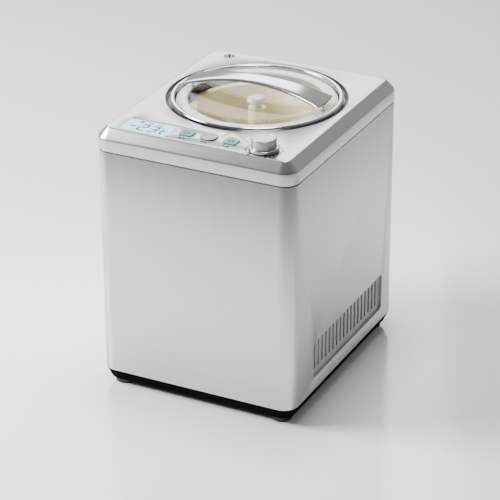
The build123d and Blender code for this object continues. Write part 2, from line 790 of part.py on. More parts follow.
with BuildPart() as gear_motor:
    with Locations((motor_x, motor_y, motor_bottom)):
        Cylinder(motor_radius, motor_height - 0.1, align=base_up)
        Cylinder(motor_boss, motor_height + case_wall, align=base_up)
    with Locations((motor_x, motor_y, motor_bottom - 6)):
        Cylinder(motor_boss, 6, align=base_up)
    with Locations((motor_x, motor_y + motor_radius - 6, motor_bottom - 8)):
        Box(16, 3, 8, align=base_up)
    with Locations((motor_x, motor_y, motor_bottom + 10)):
        Cylinder(motor_shaft_radius + running_gap, motor_height + case_wall, align=base_up,
                 mode=Mode.SUBTRACT)
    with Locations(*[(x, y, case_bottom - 8) for x, y in motor_screw_spots]):
        Cylinder(screw_radius + running_gap, 8, align=base_up, mode=Mode.SUBTRACT)
save(gear_motor.part, "gear_motor")

with BuildPart() as motor_screws:
    with Locations(*[(x, y, case_bottom - 6) for x, y in motor_screw_spots]):
        Cylinder(screw_radius, 6 + case_wall + 1, align=base_up)
    with Locations(*[(x, y, case_floor + 0.05) for x, y in motor_screw_spots]):
        Cylinder(screw_head, 2, align=base_up)
    with Locations(*[(x, y, case_floor + 1.2) for x, y in motor_screw_spots]):
        Cylinder(1.0, 1, align=base_up, mode=Mode.SUBTRACT)
save(motor_screws.part, "motor_screws")

# ---------------- compressor and cooling circuit ----------------
mount_spots = [(compressor_x + x, compressor_y + y) for x in (-mount_span, mount_span)
               for y in (-mount_span, mount_span)]
bracket_bottom = floor_top + grommet_height
stub_spots = [(compressor_x + pipe_out[0], compressor_y + pipe_out[1]), tail_spots[0]]
stub_length = 16.0
stub_top = bracket_bottom + compressor_height + 4

with BuildPart() as compressor:
    with BuildSketch(Plane.XY.offset(bracket_bottom)):
        with Locations((compressor_x, compressor_y)):
            RectangleRounded(2 * mount_span + 20, 2 * mount_span + 20, 9)
        with Locations(*mount_spots):
            Circle(grommet_neck + 0.1, mode=Mode.SUBTRACT)
    extrude(amount=3)
    with Locations((compressor_x, compressor_y, bracket_bottom)):
        Cylinder(compressor_radius, compressor_height, align=base_up)
    fillet(compressor.faces().filter_by(Axis.Z).sort_by(Axis.Z)[-1].edges(), 22)
    with Locations((compressor_x, compressor_y - compressor_radius - 2, bracket_bottom + 52)):
        Box(40, 14, 34)
    with Locations(*[(x, y, stub_top - stub_length) for x, y in stub_spots]):
        Cylinder(pipe_radius + 1.5, stub_length, align=base_up)
        Cylinder(pipe_radius + 0.1, stub_length, align=base_up, mode=Mode.SUBTRACT)
save(compressor.part, "compressor")

with BuildPart() as compressor_grommets:
    with Locations(*[(x, y, floor_top) for x, y in mount_spots]):
        Cylinder(grommet_radius, grommet_height - 0.1, align=base_up)
        Cylinder(grommet_neck, grommet_height + 3.2, align=base_up)
        Cylinder(mount_bolt + 0.2, grommet_height + 3.2, align=base_up, mode=Mode.SUBTRACT)
save(compressor_grommets.part, "compressor_grommets")

with BuildPart() as compressor_bolts:
    with Locations(*[(x, y, floor_top + 0.1) for x, y in mount_spots]):
        Cylinder(mount_bolt, grommet_height + 8, align=base_up)
    with BuildSketch(Plane.XY.offset(bracket_bottom + 3.5)):
        with Locations(*mount_spots):
            RegularPolygon(grommet_neck + 1.5, 6)
    extrude(amount=3)
save(compressor_bolts.part, "compressor_bolts")

condenser_end = condenser_size[1] / 2
tube_rows = [condenser_floor + 11 + 20 * k for k in range(3)]
tube_columns = [condenser_x - 5.5, condenser_x + 5.5]
fin_count = 27
bend_y = condenser_end + 4.3

with BuildPart() as condenser:
    with Locations(*[(condenser_x, condenser_y - condenser_end + condenser_size[1] * k / (fin_count - 1),
                      condenser_floor) for k in range(1, fin_count - 1)]):
        Box(condenser_size[0], 0.8, condenser_size[2], align=base_up)
    with Locations(*[(condenser_x, condenser_y + side * condenser_end, floor_top + contact_gap)
                     for side in (-1, 1)]):
        Box(condenser_size[0], 2, condenser_floor + condenser_size[2] - floor_top, align=base_up)
    for column in tube_columns:
        for row in tube_rows:
            with Locations(Location((column, condenser_y, row), (90, 0, 0))):
                Cylinder(3.5, condenser_size[1] + 14)
    for side, row in ((-1, tube_rows[1]), (1, tube_rows[0])):
        with Locations(*[(column, condenser_y + side * bend_y, row) for column in tube_columns]):
            Cylinder(pipe_radius, tube_rows[1] - tube_rows[0], align=base_up)
    with Locations(Location((condenser_x, condenser_y + bend_y, tube_rows[2]), (0, 90, 0))):
        Cylinder(pipe_radius, tube_columns[1] - tube_columns[0])
save(condenser.part, "condenser")

fan_mid_z = fan_floor + fan_size / 2
fan_plane = Plane(origin=(fan_x - fan_thickness / 2, fan_y, fan_mid_z), x_dir=(0, 1, 0), z_dir=(1, 0, 0))
stator_x = fan_thickness - 6

with BuildPart() as fan_housing:
    with BuildSketch(fan_plane):
        RectangleRounded(fan_size, fan_size, 5)
        Circle(fan_size / 2 - 3, mode=Mode.SUBTRACT)
        with GridLocations(fan_size - 9, fan_size - 9, 2, 2):
            Circle(2, mode=Mode.SUBTRACT)
    extrude(amount=fan_thickness)
    with BuildSketch(fan_plane.offset(stator_x)):
        Circle(fan_hub - 1)
        with PolarLocations(0, 4, start_angle=45):
            Rectangle(fan_size / 2 - 2, 4, align=(Align.MIN, Align.CENTER))
    extrude(amount=4)
    with BuildSketch(fan_plane.offset(4)):
        Circle(fan_pin)
    extrude(amount=stator_x - 3)
    with BuildSketch(Plane.XY.offset(floor_top)):
        with Locations((fan_x, fan_y - fan_size / 2 + 8), (fan_x, fan_y + fan_size / 2 - 8)):
            Rectangle(fan_thickness - 6, 10)
    extrude(amount=fan_floor - floor_top + 1)
save(fan_housing.part, "fan_housing")

rotor_width = stator_x - 2.0
rotor_middle = Vector(fan_x - fan_thickness / 2 + 1.0 + rotor_width / 2, fan_y, fan_mid_z)
with BuildPart() as fan_rotor:
    with BuildSketch(fan_plane.offset(1.0)):
        Circle(fan_hub)
    extrude(amount=rotor_width)
    for k in range(fan_blades):
        angle = 2 * math.pi * k / fan_blades
        outward = Vector(0, math.cos(angle), math.sin(angle))
        sideways = Vector(0, -math.sin(angle), math.cos(angle))
        root_point = rotor_middle + outward * (fan_hub - 2)
        with BuildSketch(Plane(origin=root_point, x_dir=sideways, z_dir=outward)):
            RectangleRounded(fan_blade_chord, 2.0, 0.9, rotation=fan_blade_pitch)
        extrude(amount=fan_size / 2 - 3 - 1.6 - fan_hub + 2)
    with BuildSketch(fan_plane):
        Circle(fan_pin + running_gap)
    extrude(amount=fan_thickness, mode=Mode.SUBTRACT)
save(fan_rotor.part, "fan_rotor")


def pipe(points, bend, radius):
    """Round pipe along straight runs joined by arcs."""
    with BuildPart() as run:
        with BuildLine() as route:
            FilletPolyline(*points, radius=bend)
        with BuildSketch(Plane(origin=route.line @ 0, z_dir=route.line % 0)):
            Circle(radius)
        sweep(path=route.line)
    return run.part


out_x, out_y = stub_spots[0]
pipe_start = stub_top - stub_length + 2
pipe_over = stub_top + 14
condenser_back = condenser_y + condenser_end + 7
pipe_back = condenser_back + pipe_loop
discharge_pipe = pipe([(out_x, out_y, pipe_start), (out_x, out_y, pipe_over), (out_x, pipe_back, pipe_over),
                       (tube_columns[0], pipe_back, pipe_over), (tube_columns[0], pipe_back, tube_rows[1]),
                       (tube_columns[0], condenser_back + contact_gap, tube_rows[1])], pipe_bend,
                      pipe_radius)
save(discharge_pipe, "discharge_pipe")

with BuildPart() as suction_pipe:
    with Locations((stub_spots[1][0], stub_spots[1][1], pipe_start)):
        Cylinder(pipe_radius, tail_end - 0.1 - pipe_start, align=base_up)
save(suction_pipe.part, "suction_pipe")

condenser_front = condenser_y - condenser_end - 7
pipe_front = condenser_front - pipe_loop
liquid_pipe = pipe([(tube_columns[0], condenser_front - contact_gap, tube_rows[0]),
                    (tube_columns[0], pipe_front, tube_rows[0]), (drier_x, pipe_front, tube_rows[0]),
                    (drier_x, drier_y, tube_rows[0]), (drier_x, drier_y, drier_low - contact_gap)],
                   pipe_bend, pipe_radius)
save(liquid_pipe, "liquid_pipe")

with BuildPart() as filter_drier:
    with Locations((drier_x, drier_y, drier_low + drier_cone)):
        Cylinder(drier_radius, drier_length - 2 * drier_cone, align=base_up)
    with Locations((drier_x, drier_y, drier_low)):
        Cone(pipe_radius + 1, drier_radius, drier_cone, align=base_up)
    with Locations((drier_x, drier_y, drier_low + drier_length - drier_cone)):
        Cone(drier_radius, pipe_radius + 1, drier_cone, align=base_up)
save(filter_drier.part, "filter_drier")

capillary_over = drier_low + drier_length + 22
capillary_pipe = pipe([(drier_x, drier_y, drier_low + drier_length + contact_gap),
                       (drier_x, drier_y, capillary_over), (*tail_spots[1], capillary_over),
                       (*tail_spots[1], tail_end - contact_gap)], pipe_bend, capillary_radius)
save(capillary_pipe, "capillary_pipe")

# ---------------- electronics ----------------
board_bottom = board_top - board_thickness
with BuildPart() as control_board:
    with BuildSketch(Plane.XY.offset(board_bottom)):
        with Locations((0, panel_y)):
            RectangleRounded(board_width, board_depth, 3)
    extrude(amount=board_thickness - 0.1)
    with Locations((-20, panel_y, board_bottom - 3), (30, panel_y + 6, board_bottom - 3)):
        Box(14, 14, 3, align=base_up)
    with Locations((66, panel_y, board_bottom - 9)):
        Box(20, 12, 9, align=base_up)
save(control_board.part, "control_board")

with BuildPart() as display_module:
    with Locations((display_x, display_y, board_top + 0.2)):
        Box(display_width + 4, display_depth + 2, deck_under - board_top - 0.4, align=base_up)
        Box(display_width - 1, display_depth - 1, display_under - board_top - 0.3, align=base_up)
save(display_module.part, "display_module")

with BuildPart() as display_window:
    with BuildSketch(Plane.XY.offset(display_under)):
        with Locations((display_x, display_y)):
            RectangleRounded(display_width, display_depth, 2)
    extrude(amount=deck_height + display_proud - display_under)
save(display_window.part, "display_window")

button_spots = [(power_x, power_y), (menu_x, menu_y), (start_x, start_y)]
switch_top = board_top + switch_height
with BuildPart() as button_switches:
    with Locations(*[(x, y, board_top + 0.1) for x, y in button_spots]):
        Box(6, 6, switch_height - 1.1, align=base_up)
        Cylinder(1.8, switch_height - 0.1, align=base_up)
save(button_switches.part, "button_switches")

flange_top = deck_under - 0.3
flange_bottom = flange_top - 1.5
stem_bottom = switch_top + button_travel + 0.2
button_top = deck_height + button_rise


def lit_button(spot, name):
    """Rounded square key cap with a retaining flange under the deck and a stem over its switch."""
    with BuildPart() as button:
        with BuildSketch(Plane.XY.offset(flange_top)):
            with Locations(spot):
                RectangleRounded(lit_button_width, lit_button_depth, 3)
        extrude(amount=button_top - flange_top)
        fillet(button.faces().sort_by(Axis.Z)[-1].edges(), 0.6)
        with BuildSketch(Plane.XY.offset(flange_bottom)):
            with Locations(spot):
                RectangleRounded(lit_button_width + 2.6, lit_button_depth + 2.6, 3)
        extrude(amount=flange_top - flange_bottom)
        with Locations((*spot, stem_bottom)):
            Cylinder(button_skirt, flange_bottom - stem_bottom, align=base_up)
    save(button.part, name)


lit_button((power_x, power_y), "power_button")
lit_button((start_x, start_y), "start_button")

with BuildPart() as menu_button:
    with Locations((menu_x, menu_y, flange_top)):
        Cylinder(menu_radius, button_top - flange_top, align=base_up)
    fillet(menu_button.faces().sort_by(Axis.Z)[-1].edges(), 0.6)
    with Locations((menu_x, menu_y, flange_bottom)):
        Cylinder(menu_radius + 1.6, flange_top - flange_bottom, align=base_up)
    with Locations((menu_x, menu_y, stem_bottom)):
        Cylinder(button_skirt, flange_bottom - stem_bottom, align=base_up)
save(menu_button.part, "menu_button")

with BuildPart() as encoder_body:
    with Locations((knob_x, knob_y, board_top + 0.1)):
        Box(14, 14, 7, align=base_up)
        Cylinder(bush_radius, bush_top - board_top - 0.1, align=base_up)
    with Locations((knob_x, knob_y, board_top + 2)):
        Cylinder(knob_shaft_radius + running_gap, deck_height, align=base_up, mode=Mode.SUBTRACT)
save(encoder_body.part, "encoder_body")

shaft_top = bush_top + knob_height - 5
with BuildPart() as knob_shaft:
    with Locations((knob_x, knob_y, board_top + 2.2)):
        Cylinder(knob_shaft_radius, shaft_top - board_top - 2.2, align=base_up)
save(knob_shaft.part, "knob_shaft")

knob_bottom = bush_top + 0.3
with BuildPart() as control_knob:
    with Locations((knob_x, knob_y, knob_bottom)):
        Cylinder(knob_skirt_radius, knob_skirt_height, align=base_up)
    chamfer(control_knob.faces().sort_by(Axis.Z)[-1].edges(), 1.2)
    with Locations((knob_x, knob_y, knob_bottom)):
        Cylinder(knob_radius, knob_height - 1.3, align=base_up)
    chamfer(control_knob.faces().sort_by(Axis.Z)[-1].edges(), 1.0)
    with Locations((knob_x, knob_y, knob_bottom)):
        Cylinder(knob_radius - 2, knob_height - 4.3, align=base_up, mode=Mode.SUBTRACT)
        Cylinder(knob_shaft_radius + 3, knob_height - 2.3, align=base_up)
        Cylinder(bush_radius + 0.5, 1.0, align=base_up, mode=Mode.SUBTRACT)
        Cylinder(knob_shaft_radius + running_gap, shaft_top - knob_bottom + fit_gap, align=base_up,
                 mode=Mode.SUBTRACT)
save(control_knob.part, "control_knob")

supply_plane = Plane(origin=(-inner_x + 8, supply_y, supply_z), x_dir=(0, 1, 0), z_dir=(1, 0, 0))
with BuildPart() as power_board:
    with BuildSketch(supply_plane):
        RectangleRounded(96, 64, 3)
    extrude(amount=1.6)
    with BuildSketch(supply_plane.offset(-7.9)):
        with GridLocations(84, 52, 2, 2):
            Circle(3)
    extrude(amount=8)
    with BuildSketch(supply_plane.offset(1.6)):
        with Locations((-26, 12)):
            Rectangle(30, 26)
    extrude(amount=13)
    with BuildSketch(supply_plane.offset(1.6)):
        with Locations((14, 16), (14, -14)):
            Rectangle(20, 15)
        with Locations((36, 14), (36, -6)):
            Circle(6)
    extrude(amount=11)
save(power_board.part, "power_board")

# ---------------- removable bowl ----------------
bowl_inner = bowl_radius - bowl_wall
bowl_base_top = bowl_floor + bowl_wall
corner_r = bowl_radius - bowl_corner
corner_z = bowl_floor + bowl_corner
with BuildPart() as ice_bowl:
    with BuildSketch(well_plane):
        with BuildLine():
            outer_turn = bowl_corner * diagonal
            inner_turn = (bowl_corner - bowl_wall) * diagonal
            outer_mid = (corner_r + outer_turn, corner_z - outer_turn)
            inner_mid = (corner_r + inner_turn, corner_z - inner_turn)
            rim_edge = bowl_radius + bowl_rim_width
            Polyline((tube_inner, tube_top), (tube_inner, bowl_floor), (corner_r, bowl_floor))
            ThreePointArc((corner_r, bowl_floor), outer_mid, (bowl_radius, corner_z))
            Polyline((bowl_radius, corner_z), (bowl_radius, bowl_rim_under), (rim_edge, bowl_rim_under),
                     (rim_edge, bowl_rim_top), (bowl_inner, bowl_rim_top), (bowl_inner, corner_z))
            ThreePointArc((bowl_inner, corner_z), inner_mid, (corner_r, bowl_base_top))
            Polyline((corner_r, bowl_base_top), (tube_outer, bowl_base_top), (tube_outer, tube_top),
                     (tube_inner, tube_top))
        make_face()
    revolve(axis=well_axis)
save(ice_bowl.part, "ice_bowl")

# ---------------- paddle ----------------
blade_bottom = bowl_base_top + blade_gap
blade_top = bowl_rim_top - 22.0
blade_reach = bowl_inner - blade_gap
socket_bottom = hex_bottom + 1.0
with BuildPart() as paddle:
    with Locations((0, well_y, blade_bottom)):
        Cylinder(sleeve_outer, cap_seat - 0.1 - blade_bottom, align=base_up)
    with BuildSketch(well_plane.offset(-blade_thickness / 2)):
        with BuildLine():
            Polyline((-blade_reach, blade_bottom), (blade_reach, blade_bottom), (blade_reach, blade_top),
                     (blade_reach - blade_post, blade_top), (sleeve_outer - 2, blade_top - blade_slope),
                     (2 - sleeve_outer, blade_top - blade_slope), (blade_post - blade_reach, blade_top),
                     (-blade_reach, blade_top), close=True)
        make_face()
        low, high = blade_bottom + blade_arm, blade_top - blade_slope - blade_arm
        middle = (low + high) / 2
        for side, split in ((1, middle), (-1, middle + 14)):
            near, far = side * (sleeve_outer + 3), side * (blade_reach - blade_post)
            for bottom, top in ((low, split - blade_arm / 2), (split + blade_arm / 2, high)):
                with BuildLine():
                    Polyline((near, bottom), (far, bottom + 8), (far, top + 8), (near, top), close=True)
                make_face(mode=Mode.SUBTRACT)
    extrude(amount=blade_thickness)
    with Locations((0, well_y, blade_bottom)):
        Cylinder(sleeve_inner, socket_bottom - blade_bottom, align=base_up, mode=Mode.SUBTRACT)
    with BuildSketch(Plane.XY.offset(socket_bottom)):
        with Locations((0, well_y)):
            RegularPolygon(hex_width / 2 + hex_gap, 6, major_radius=False)
    extrude(amount=hex_top + 0.6 - socket_bottom, mode=Mode.SUBTRACT)
    with Locations((0, well_y, cap_seat - cap_peg)):
        Cylinder(cap_peg_radius + running_gap, cap_peg, align=base_up, mode=Mode.SUBTRACT)
save(paddle.part, "paddle")

with BuildPart() as paddle_cap:
    with BuildSketch(well_plane):
        with BuildLine():
            cap_low = cap_top - cap_thickness
            cap_flat = cap_radius - cap_round
            peg_end = cap_seat - cap_peg + fit_gap
            Polyline((0, cap_top), (0, peg_end), (cap_peg_radius, peg_end), (cap_peg_radius, cap_seat),
                     (cap_stem_radius, cap_seat), (cap_stem_radius, cap_low),
                     (cap_radius - 1, cap_low), (cap_radius, cap_top - cap_round))
            cap_side = cap_top - cap_round
            cap_turn = cap_round * diagonal
            ThreePointArc((cap_radius, cap_side), (cap_flat + cap_turn, cap_side + cap_turn),
                          (cap_flat, cap_top))
            Line((cap_flat, cap_top), (0, cap_top))
        make_face()
    revolve(axis=well_axis)
save(paddle_cap.part, "paddle_cap")

# ---------------- lid ----------------
spigot_outer = collar_bore - spigot_gap
rim_under = lid_seat + gasket_thickness
rim_shoulder = lid_rim_top - 5.0
rim_flat = lid_radius - 5.0
with BuildPart() as lid_window:
    with BuildSketch(well_plane):
        with BuildLine():
            Polyline((0, window_top), (0, window_under), (spigot_outer - 2, window_under),
                     (spigot_outer - 2, lid_seat - spigot_depth), (spigot_outer, lid_seat - spigot_depth),
                     (spigot_outer, rim_under), (lid_radius, rim_under), (lid_radius, rim_shoulder))
            ThreePointArc((lid_radius, rim_shoulder), (lid_radius - 1.5, lid_rim_top - 1.5),
                          (rim_flat, lid_rim_top))
            Polyline((rim_flat, lid_rim_top), (spigot_outer + 2, lid_rim_top), (spigot_outer, window_top),
                     (0, window_top))
        make_face()
    revolve(axis=well_axis)
    with Locations((-handle_screw_x, well_y, rim_under), (handle_screw_x, well_y, rim_under)):
        Cylinder(screw_radius + running_gap, lid_rim_top, align=base_up, mode=Mode.SUBTRACT)
        Cylinder(screw_head + fit_gap, 2.4, align=base_up, mode=Mode.SUBTRACT)
save(lid_window.part, "lid_window")

with BuildPart() as lid_gasket:
    with BuildSketch(Plane.XY.offset(lid_seat + 0.05)):
        with Locations((0, well_y)):
            Circle(lid_radius - 1)
            Circle(collar_bore + 1, mode=Mode.SUBTRACT)
    extrude(amount=gasket_thickness - 0.1)
save(lid_gasket.part, "lid_gasket")

grip_foot = lid_rim_top + contact_gap
grip_top = lid_rim_top + handle_rise
grip_edge = grip_foot + 2
with BuildPart() as lid_handle:
    with BuildSketch(well_plane.offset(-handle_end_width / 2)):
        with BuildLine():
            ThreePointArc((-handle_reach, grip_edge), (0, grip_top), (handle_reach, grip_edge))
            Polyline((handle_reach, grip_edge), (handle_reach, grip_foot), (handle_pad, grip_foot))
            ThreePointArc((handle_pad, grip_foot), (0, grip_top - handle_thickness),
                          (-handle_pad, grip_foot))
            Polyline((-handle_pad, grip_foot), (-handle_reach, grip_foot), (-handle_reach, grip_edge))
        make_face()
    extrude(amount=handle_end_width)
    with BuildSketch(Plane(origin=(0, well_y, grip_foot))):
        with BuildLine():
            end_half = handle_end_width / 2
            end_x = math.sqrt(handle_reach ** 2 - end_half ** 2)
            ThreePointArc((-end_x, -end_half), (0, -handle_width / 2), (end_x, -end_half))
            ThreePointArc((end_x, -end_half), (handle_reach, 0), (end_x, end_half))
            ThreePointArc((end_x, end_half), (0, handle_width / 2), (-end_x, end_half))
            ThreePointArc((-end_x, end_half), (-handle_reach, 0), (-end_x, -end_half))
        make_face()
    extrude(amount=handle_rise + 2, mode=Mode.INTERSECT)
    with Locations((-handle_screw_x, well_y, grip_foot), (handle_screw_x, well_y, grip_foot)):
        Cylinder(screw_radius + running_gap, 2.2, align=base_up, mode=Mode.SUBTRACT)
save(lid_handle.part, "lid_handle")

with BuildPart() as handle_screws:
    with Locations((-handle_screw_x, well_y, rim_under + 0.1), (handle_screw_x, well_y, rim_under + 0.1)):
        Cylinder(screw_head, 2.0, align=base_up)
        Cylinder(screw_radius, lid_rim_top + 1.8 - rim_under, align=base_up)
        Cylinder(1.0, 1.0, align=base_up, mode=Mode.SUBTRACT)
save(handle_screws.part, "handle_screws")
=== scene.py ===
import math
import bmesh
import bpy
from mathutils import Matrix, Vector


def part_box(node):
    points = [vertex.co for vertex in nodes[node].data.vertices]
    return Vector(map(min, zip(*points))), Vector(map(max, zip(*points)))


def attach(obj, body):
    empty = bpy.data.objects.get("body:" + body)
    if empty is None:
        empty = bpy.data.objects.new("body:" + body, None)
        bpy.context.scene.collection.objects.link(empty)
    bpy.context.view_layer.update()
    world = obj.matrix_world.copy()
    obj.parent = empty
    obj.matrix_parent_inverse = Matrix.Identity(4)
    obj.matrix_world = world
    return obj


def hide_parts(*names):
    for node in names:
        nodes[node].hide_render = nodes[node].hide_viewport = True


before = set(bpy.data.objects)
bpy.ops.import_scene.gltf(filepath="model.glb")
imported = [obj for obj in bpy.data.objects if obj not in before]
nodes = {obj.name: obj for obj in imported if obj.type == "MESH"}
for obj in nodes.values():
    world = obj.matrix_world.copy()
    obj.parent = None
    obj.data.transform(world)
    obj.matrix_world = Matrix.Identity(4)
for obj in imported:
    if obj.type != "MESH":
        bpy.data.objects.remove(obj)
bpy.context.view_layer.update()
mm = 0.001

# -------------------------------- camera
# A long lens looks down at the right-hand front corner of the casing.
azimuth = math.radians(26.59)
elevation = math.radians(26.06)
roll = math.radians(-0.25)
aim = Vector((28.4, -58.4, 182.1)) * mm
reach = 2.777

back = Vector((math.sin(azimuth) * math.cos(elevation), -math.cos(azimuth) * math.cos(elevation),
               math.sin(elevation)))
level = Vector((math.cos(azimuth), math.sin(azimuth), 0.0))
upright = back.cross(level)
across = level * math.cos(roll) + upright * math.sin(roll)
upward = upright * math.cos(roll) - level * math.sin(roll)

lens = bpy.data.cameras.new("camera")
lens.lens = 156.26
lens.sensor_width = 36.0
lens.clip_end = 50.0
camera = bpy.data.objects.new("camera", lens)
outlook = Matrix((across, upward, back)).transposed().to_4x4()
camera.matrix_world = Matrix.Translation(aim + back * reach) @ outlook
bpy.context.scene.collection.objects.link(camera)
bpy.context.scene.camera = camera


# -------------------------------- studio
# A pale, slightly glossy table top with big soft lights over it, as in a product studio.
class Value:
    """A socket of the finish being made. Arithmetic on it adds Math nodes."""

    def __init__(self, finish, socket):
        self.finish = finish
        self.socket = socket

    def maths(self, operation, first, second=None):
        inputs = {0: first} if second is None else {0: first, 1: second}
        return self.finish.node("ShaderNodeMath", {"operation": operation}, inputs)

    def __add__(self, other):
        return self.maths("ADD", self, other)

    def __sub__(self, other):
        return self.maths("SUBTRACT", self, other)

    def __mul__(self, other):
        return self.maths("MULTIPLY", self, other)

    def __pow__(self, other):
        return self.maths("POWER", self, other)

    def __rsub__(self, other):
        return self.maths("SUBTRACT", other, self)

    __radd__ = __add__
    __rmul__ = __mul__

    def wave(self):
        return self.maths("SINE", self)


class Finish:
    """One material, built from a few nodes written in order."""

    def __init__(self, name, world=None):
        self.owner = world or bpy.data.materials.new(name)
        self.owner.use_nodes = True
        self.tree = self.owner.node_tree
        self.tree.nodes.clear()
        self.output = self.tree.nodes.new("ShaderNodeOutputWorld" if world else "ShaderNodeOutputMaterial")

    def node(self, kind, settings=None, inputs=None, out=0):
        made = self.tree.nodes.new(kind)
        for key, setting in (settings or {}).items():
            if key == "stops":
                ramp = made.color_ramp
                while len(ramp.elements) < len(setting):
                    ramp.elements.new(0.5)
                for element, (place, grey) in zip(ramp.elements, setting):
                    element.position = place
                    element.color = (grey, grey, grey, 1.0)
            else:
                setattr(made, key, setting)
        for key, given in (inputs or {}).items():
            if isinstance(given, Value):
                self.tree.links.new(given.socket, made.inputs[key])
            elif isinstance(given, tuple) and len(given) == 3 and made.inputs[key].type == "RGBA":
                made.inputs[key].default_value = (*given, 1.0)
            else:
                made.inputs[key].default_value = given
        return Value(self, made.outputs[out])

    def place(self):
        """The point on the piece, in metres, in the frame of the whole object."""
        return self.node("ShaderNodeTexCoord", out="Object")

    def stretched(self, scale):
        """The same point with each direction scaled, for grain that runs one way."""
        return self.node("ShaderNodeMapping", {}, {"Vector": self.place(), "Scale": scale})

    def grain(self, scale, detail=3.0, rough=0.55, vector=None):
        inputs = {"Vector": vector or self.place(), "Scale": scale, "Detail": detail, "Roughness": rough}
        return self.node("ShaderNodeTexNoise", {}, inputs)

    def blend(self, amount, first, second):
        return self.node("ShaderNodeMix", {"data_type": "RGBA"}, {0: amount, 6: first, 7: second}, out=2)

    def bump(self, height, strength, distance):
        inputs = {"Height": height, "Strength": strength, "Distance": distance}
        return self.node("ShaderNodeBump", {}, inputs)

    def surface(self, **inputs):
        named = {key.replace("_", " "): given for key, given in inputs.items()}
        return self.node("ShaderNodeBsdfPrincipled", {}, named)

    def done(self, shader):
        self.tree.links.new(shader.socket, self.output.inputs["Surface"])
        return self.owner


def table_top_finish():
    """Pale lacquered board: faint mottling and a soft gloss."""
    make = Finish("table_top")
    cloud = make.grain(1.6, 3.0)
    colour = make.blend(cloud, (0.90, 0.90, 0.91), (0.95, 0.95, 0.95))
    return make.done(make.surface(Base_Color=colour, Roughness=0.10 + 0.06 * make.grain(40.0), IOR=1.45))


table_size = 6.0
half = table_size / 2
table_mesh = bpy.data.meshes.new("table_top")
table_corners = [(-half, -half, 0), (half, -half, 0), (half, half, 0), (-half, half, 0)]
table_mesh.from_pydata(table_corners, [], [(0, 1, 2, 3)])
table_top = bpy.data.objects.new("table_top", table_mesh)
table_mesh.materials.append(table_top_finish())
bpy.context.scene.collection.objects.link(table_top)

sky = Finish("studio", bpy.data.worlds.new("studio"))
bpy.context.scene.world = sky.owner
around = sky.node("ShaderNodeTexCoord", out="Generated")
sideways = sky.node("ShaderNodeSeparateXYZ", {}, {0: around})
rearward = sky.node("ShaderNodeSeparateXYZ", {}, {0: around}, out=1)
wall_greys = [(0.0, 0.22), (0.35, 0.34), (0.75, 0.80), (1.0, 0.92)]
shade = sky.node("ShaderNodeValToRGB", {"stops": wall_greys}, {0: (rearward - 0.35 * sideways) * 0.5 + 0.5})
sky.done(sky.node("ShaderNodeBackground", {}, {"Color": shade, "Strength": 0.7}))


def soft_light(name, place, towards, width, depth, power):
    lamp = bpy.data.lights.new(name, "AREA")
    lamp.shape = "RECTANGLE"
    lamp.size = width
    lamp.size_y = depth
    lamp.energy = power
    holder = bpy.data.objects.new(name, lamp)
    holder.location = place
    holder.rotation_euler = (Vector(towards) - Vector(place)).to_track_quat("-Z", "Y").to_euler()
    bpy.context.scene.collection.objects.link(holder)


soft_light("left_light", (-1.9, -0.8, 1.45), (-0.1, -0.5, 0.0), 1.0, 1.0, 150.0)
soft_light("top_light", (0.0, 0.1, 1.5), (0.0, 0.0, 0.3), 0.35, 0.35, 16.0)
soft_light("back_light", (-1.3, 2.0, 1.5), (0.0, 0.0, 0.3), 1.6, 0.9, 26.0)


# -------------------------------- casing wrap
# One sheet of brushed stainless steel bent round the whole machine, with a rolled edge top and bottom.
# It drops over the lip of the base tray and is pierced for the two side grilles and the rear cover.
def rounded(width, depth, radius, middle=(0.0, 0.0), steps=14):
    """Corner points of a rounded rectangle, anticlockwise from the front right corner."""
    points = []
    for quarter, (sx, sy) in enumerate(((1, -1), (1, 1), (-1, 1), (-1, -1))):
        for step in range(steps + 1):
            turn = math.radians(-90 + 90 * quarter + 90 * step / steps)
            points.append((middle[0] + sx * (width / 2 - radius) + radius * math.cos(turn),
                           middle[1] + sy * (depth / 2 - radius) + radius * math.sin(turn)))
    return points


def circle(radius, middle=(0.0, 0.0), steps=128):
    return [(middle[0] + radius * math.cos(2 * math.pi * k / steps),
             middle[1] + radius * math.sin(2 * math.pi * k / steps)) for k in range(steps)]


def show(name, mesh, finish, body, stands_for=(), sharp=32.0):
    """Puts a finished mesh in the scene and ties it to its body, slot and CAD nodes."""
    mesh.materials.clear()
    for each in finish if isinstance(finish, (list, tuple)) else (finish,):
        mesh.materials.append(each)
    mesh.polygons.foreach_set("use_smooth", [True] * len(mesh.polygons))
    mesh.set_sharp_from_angle(angle=math.radians(sharp))
    piece = bpy.data.objects.new(name, mesh)
    bpy.context.scene.collection.objects.link(piece)
    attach(piece, body)
    if stands_for:
        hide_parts(*stands_for)
    return piece


def skin(name, rings, closed=False, cap=True):
    """Quads between rings of equal length. An open stack gets a flat cap at each end."""
    made = bmesh.new()
    rows = [[made.verts.new(point) for point in ring] for ring in rings]
    pairs = list(zip(rows, rows[1:] + rows[:1])) if closed else list(zip(rows, rows[1:]))
    for lower, higher in pairs:
        for k in range(len(lower)):
            made.faces.new((lower[k - 1], lower[k], higher[k], higher[k - 1]))
    if cap and not closed:
        made.faces.new(list(reversed(rows[0])))
        made.faces.new(rows[-1])
    bmesh.ops.recalc_face_normals(made, faces=made.faces)
    mesh = bpy.data.meshes.new(name)
    made.to_mesh(mesh)
    made.free()
    return mesh


def lifted(outline, height):
    return [(x, y, height) for x, y in outline]


def prism(name, outline, low, high):
    return skin(name, [lifted(outline, low), lifted(outline, high)])


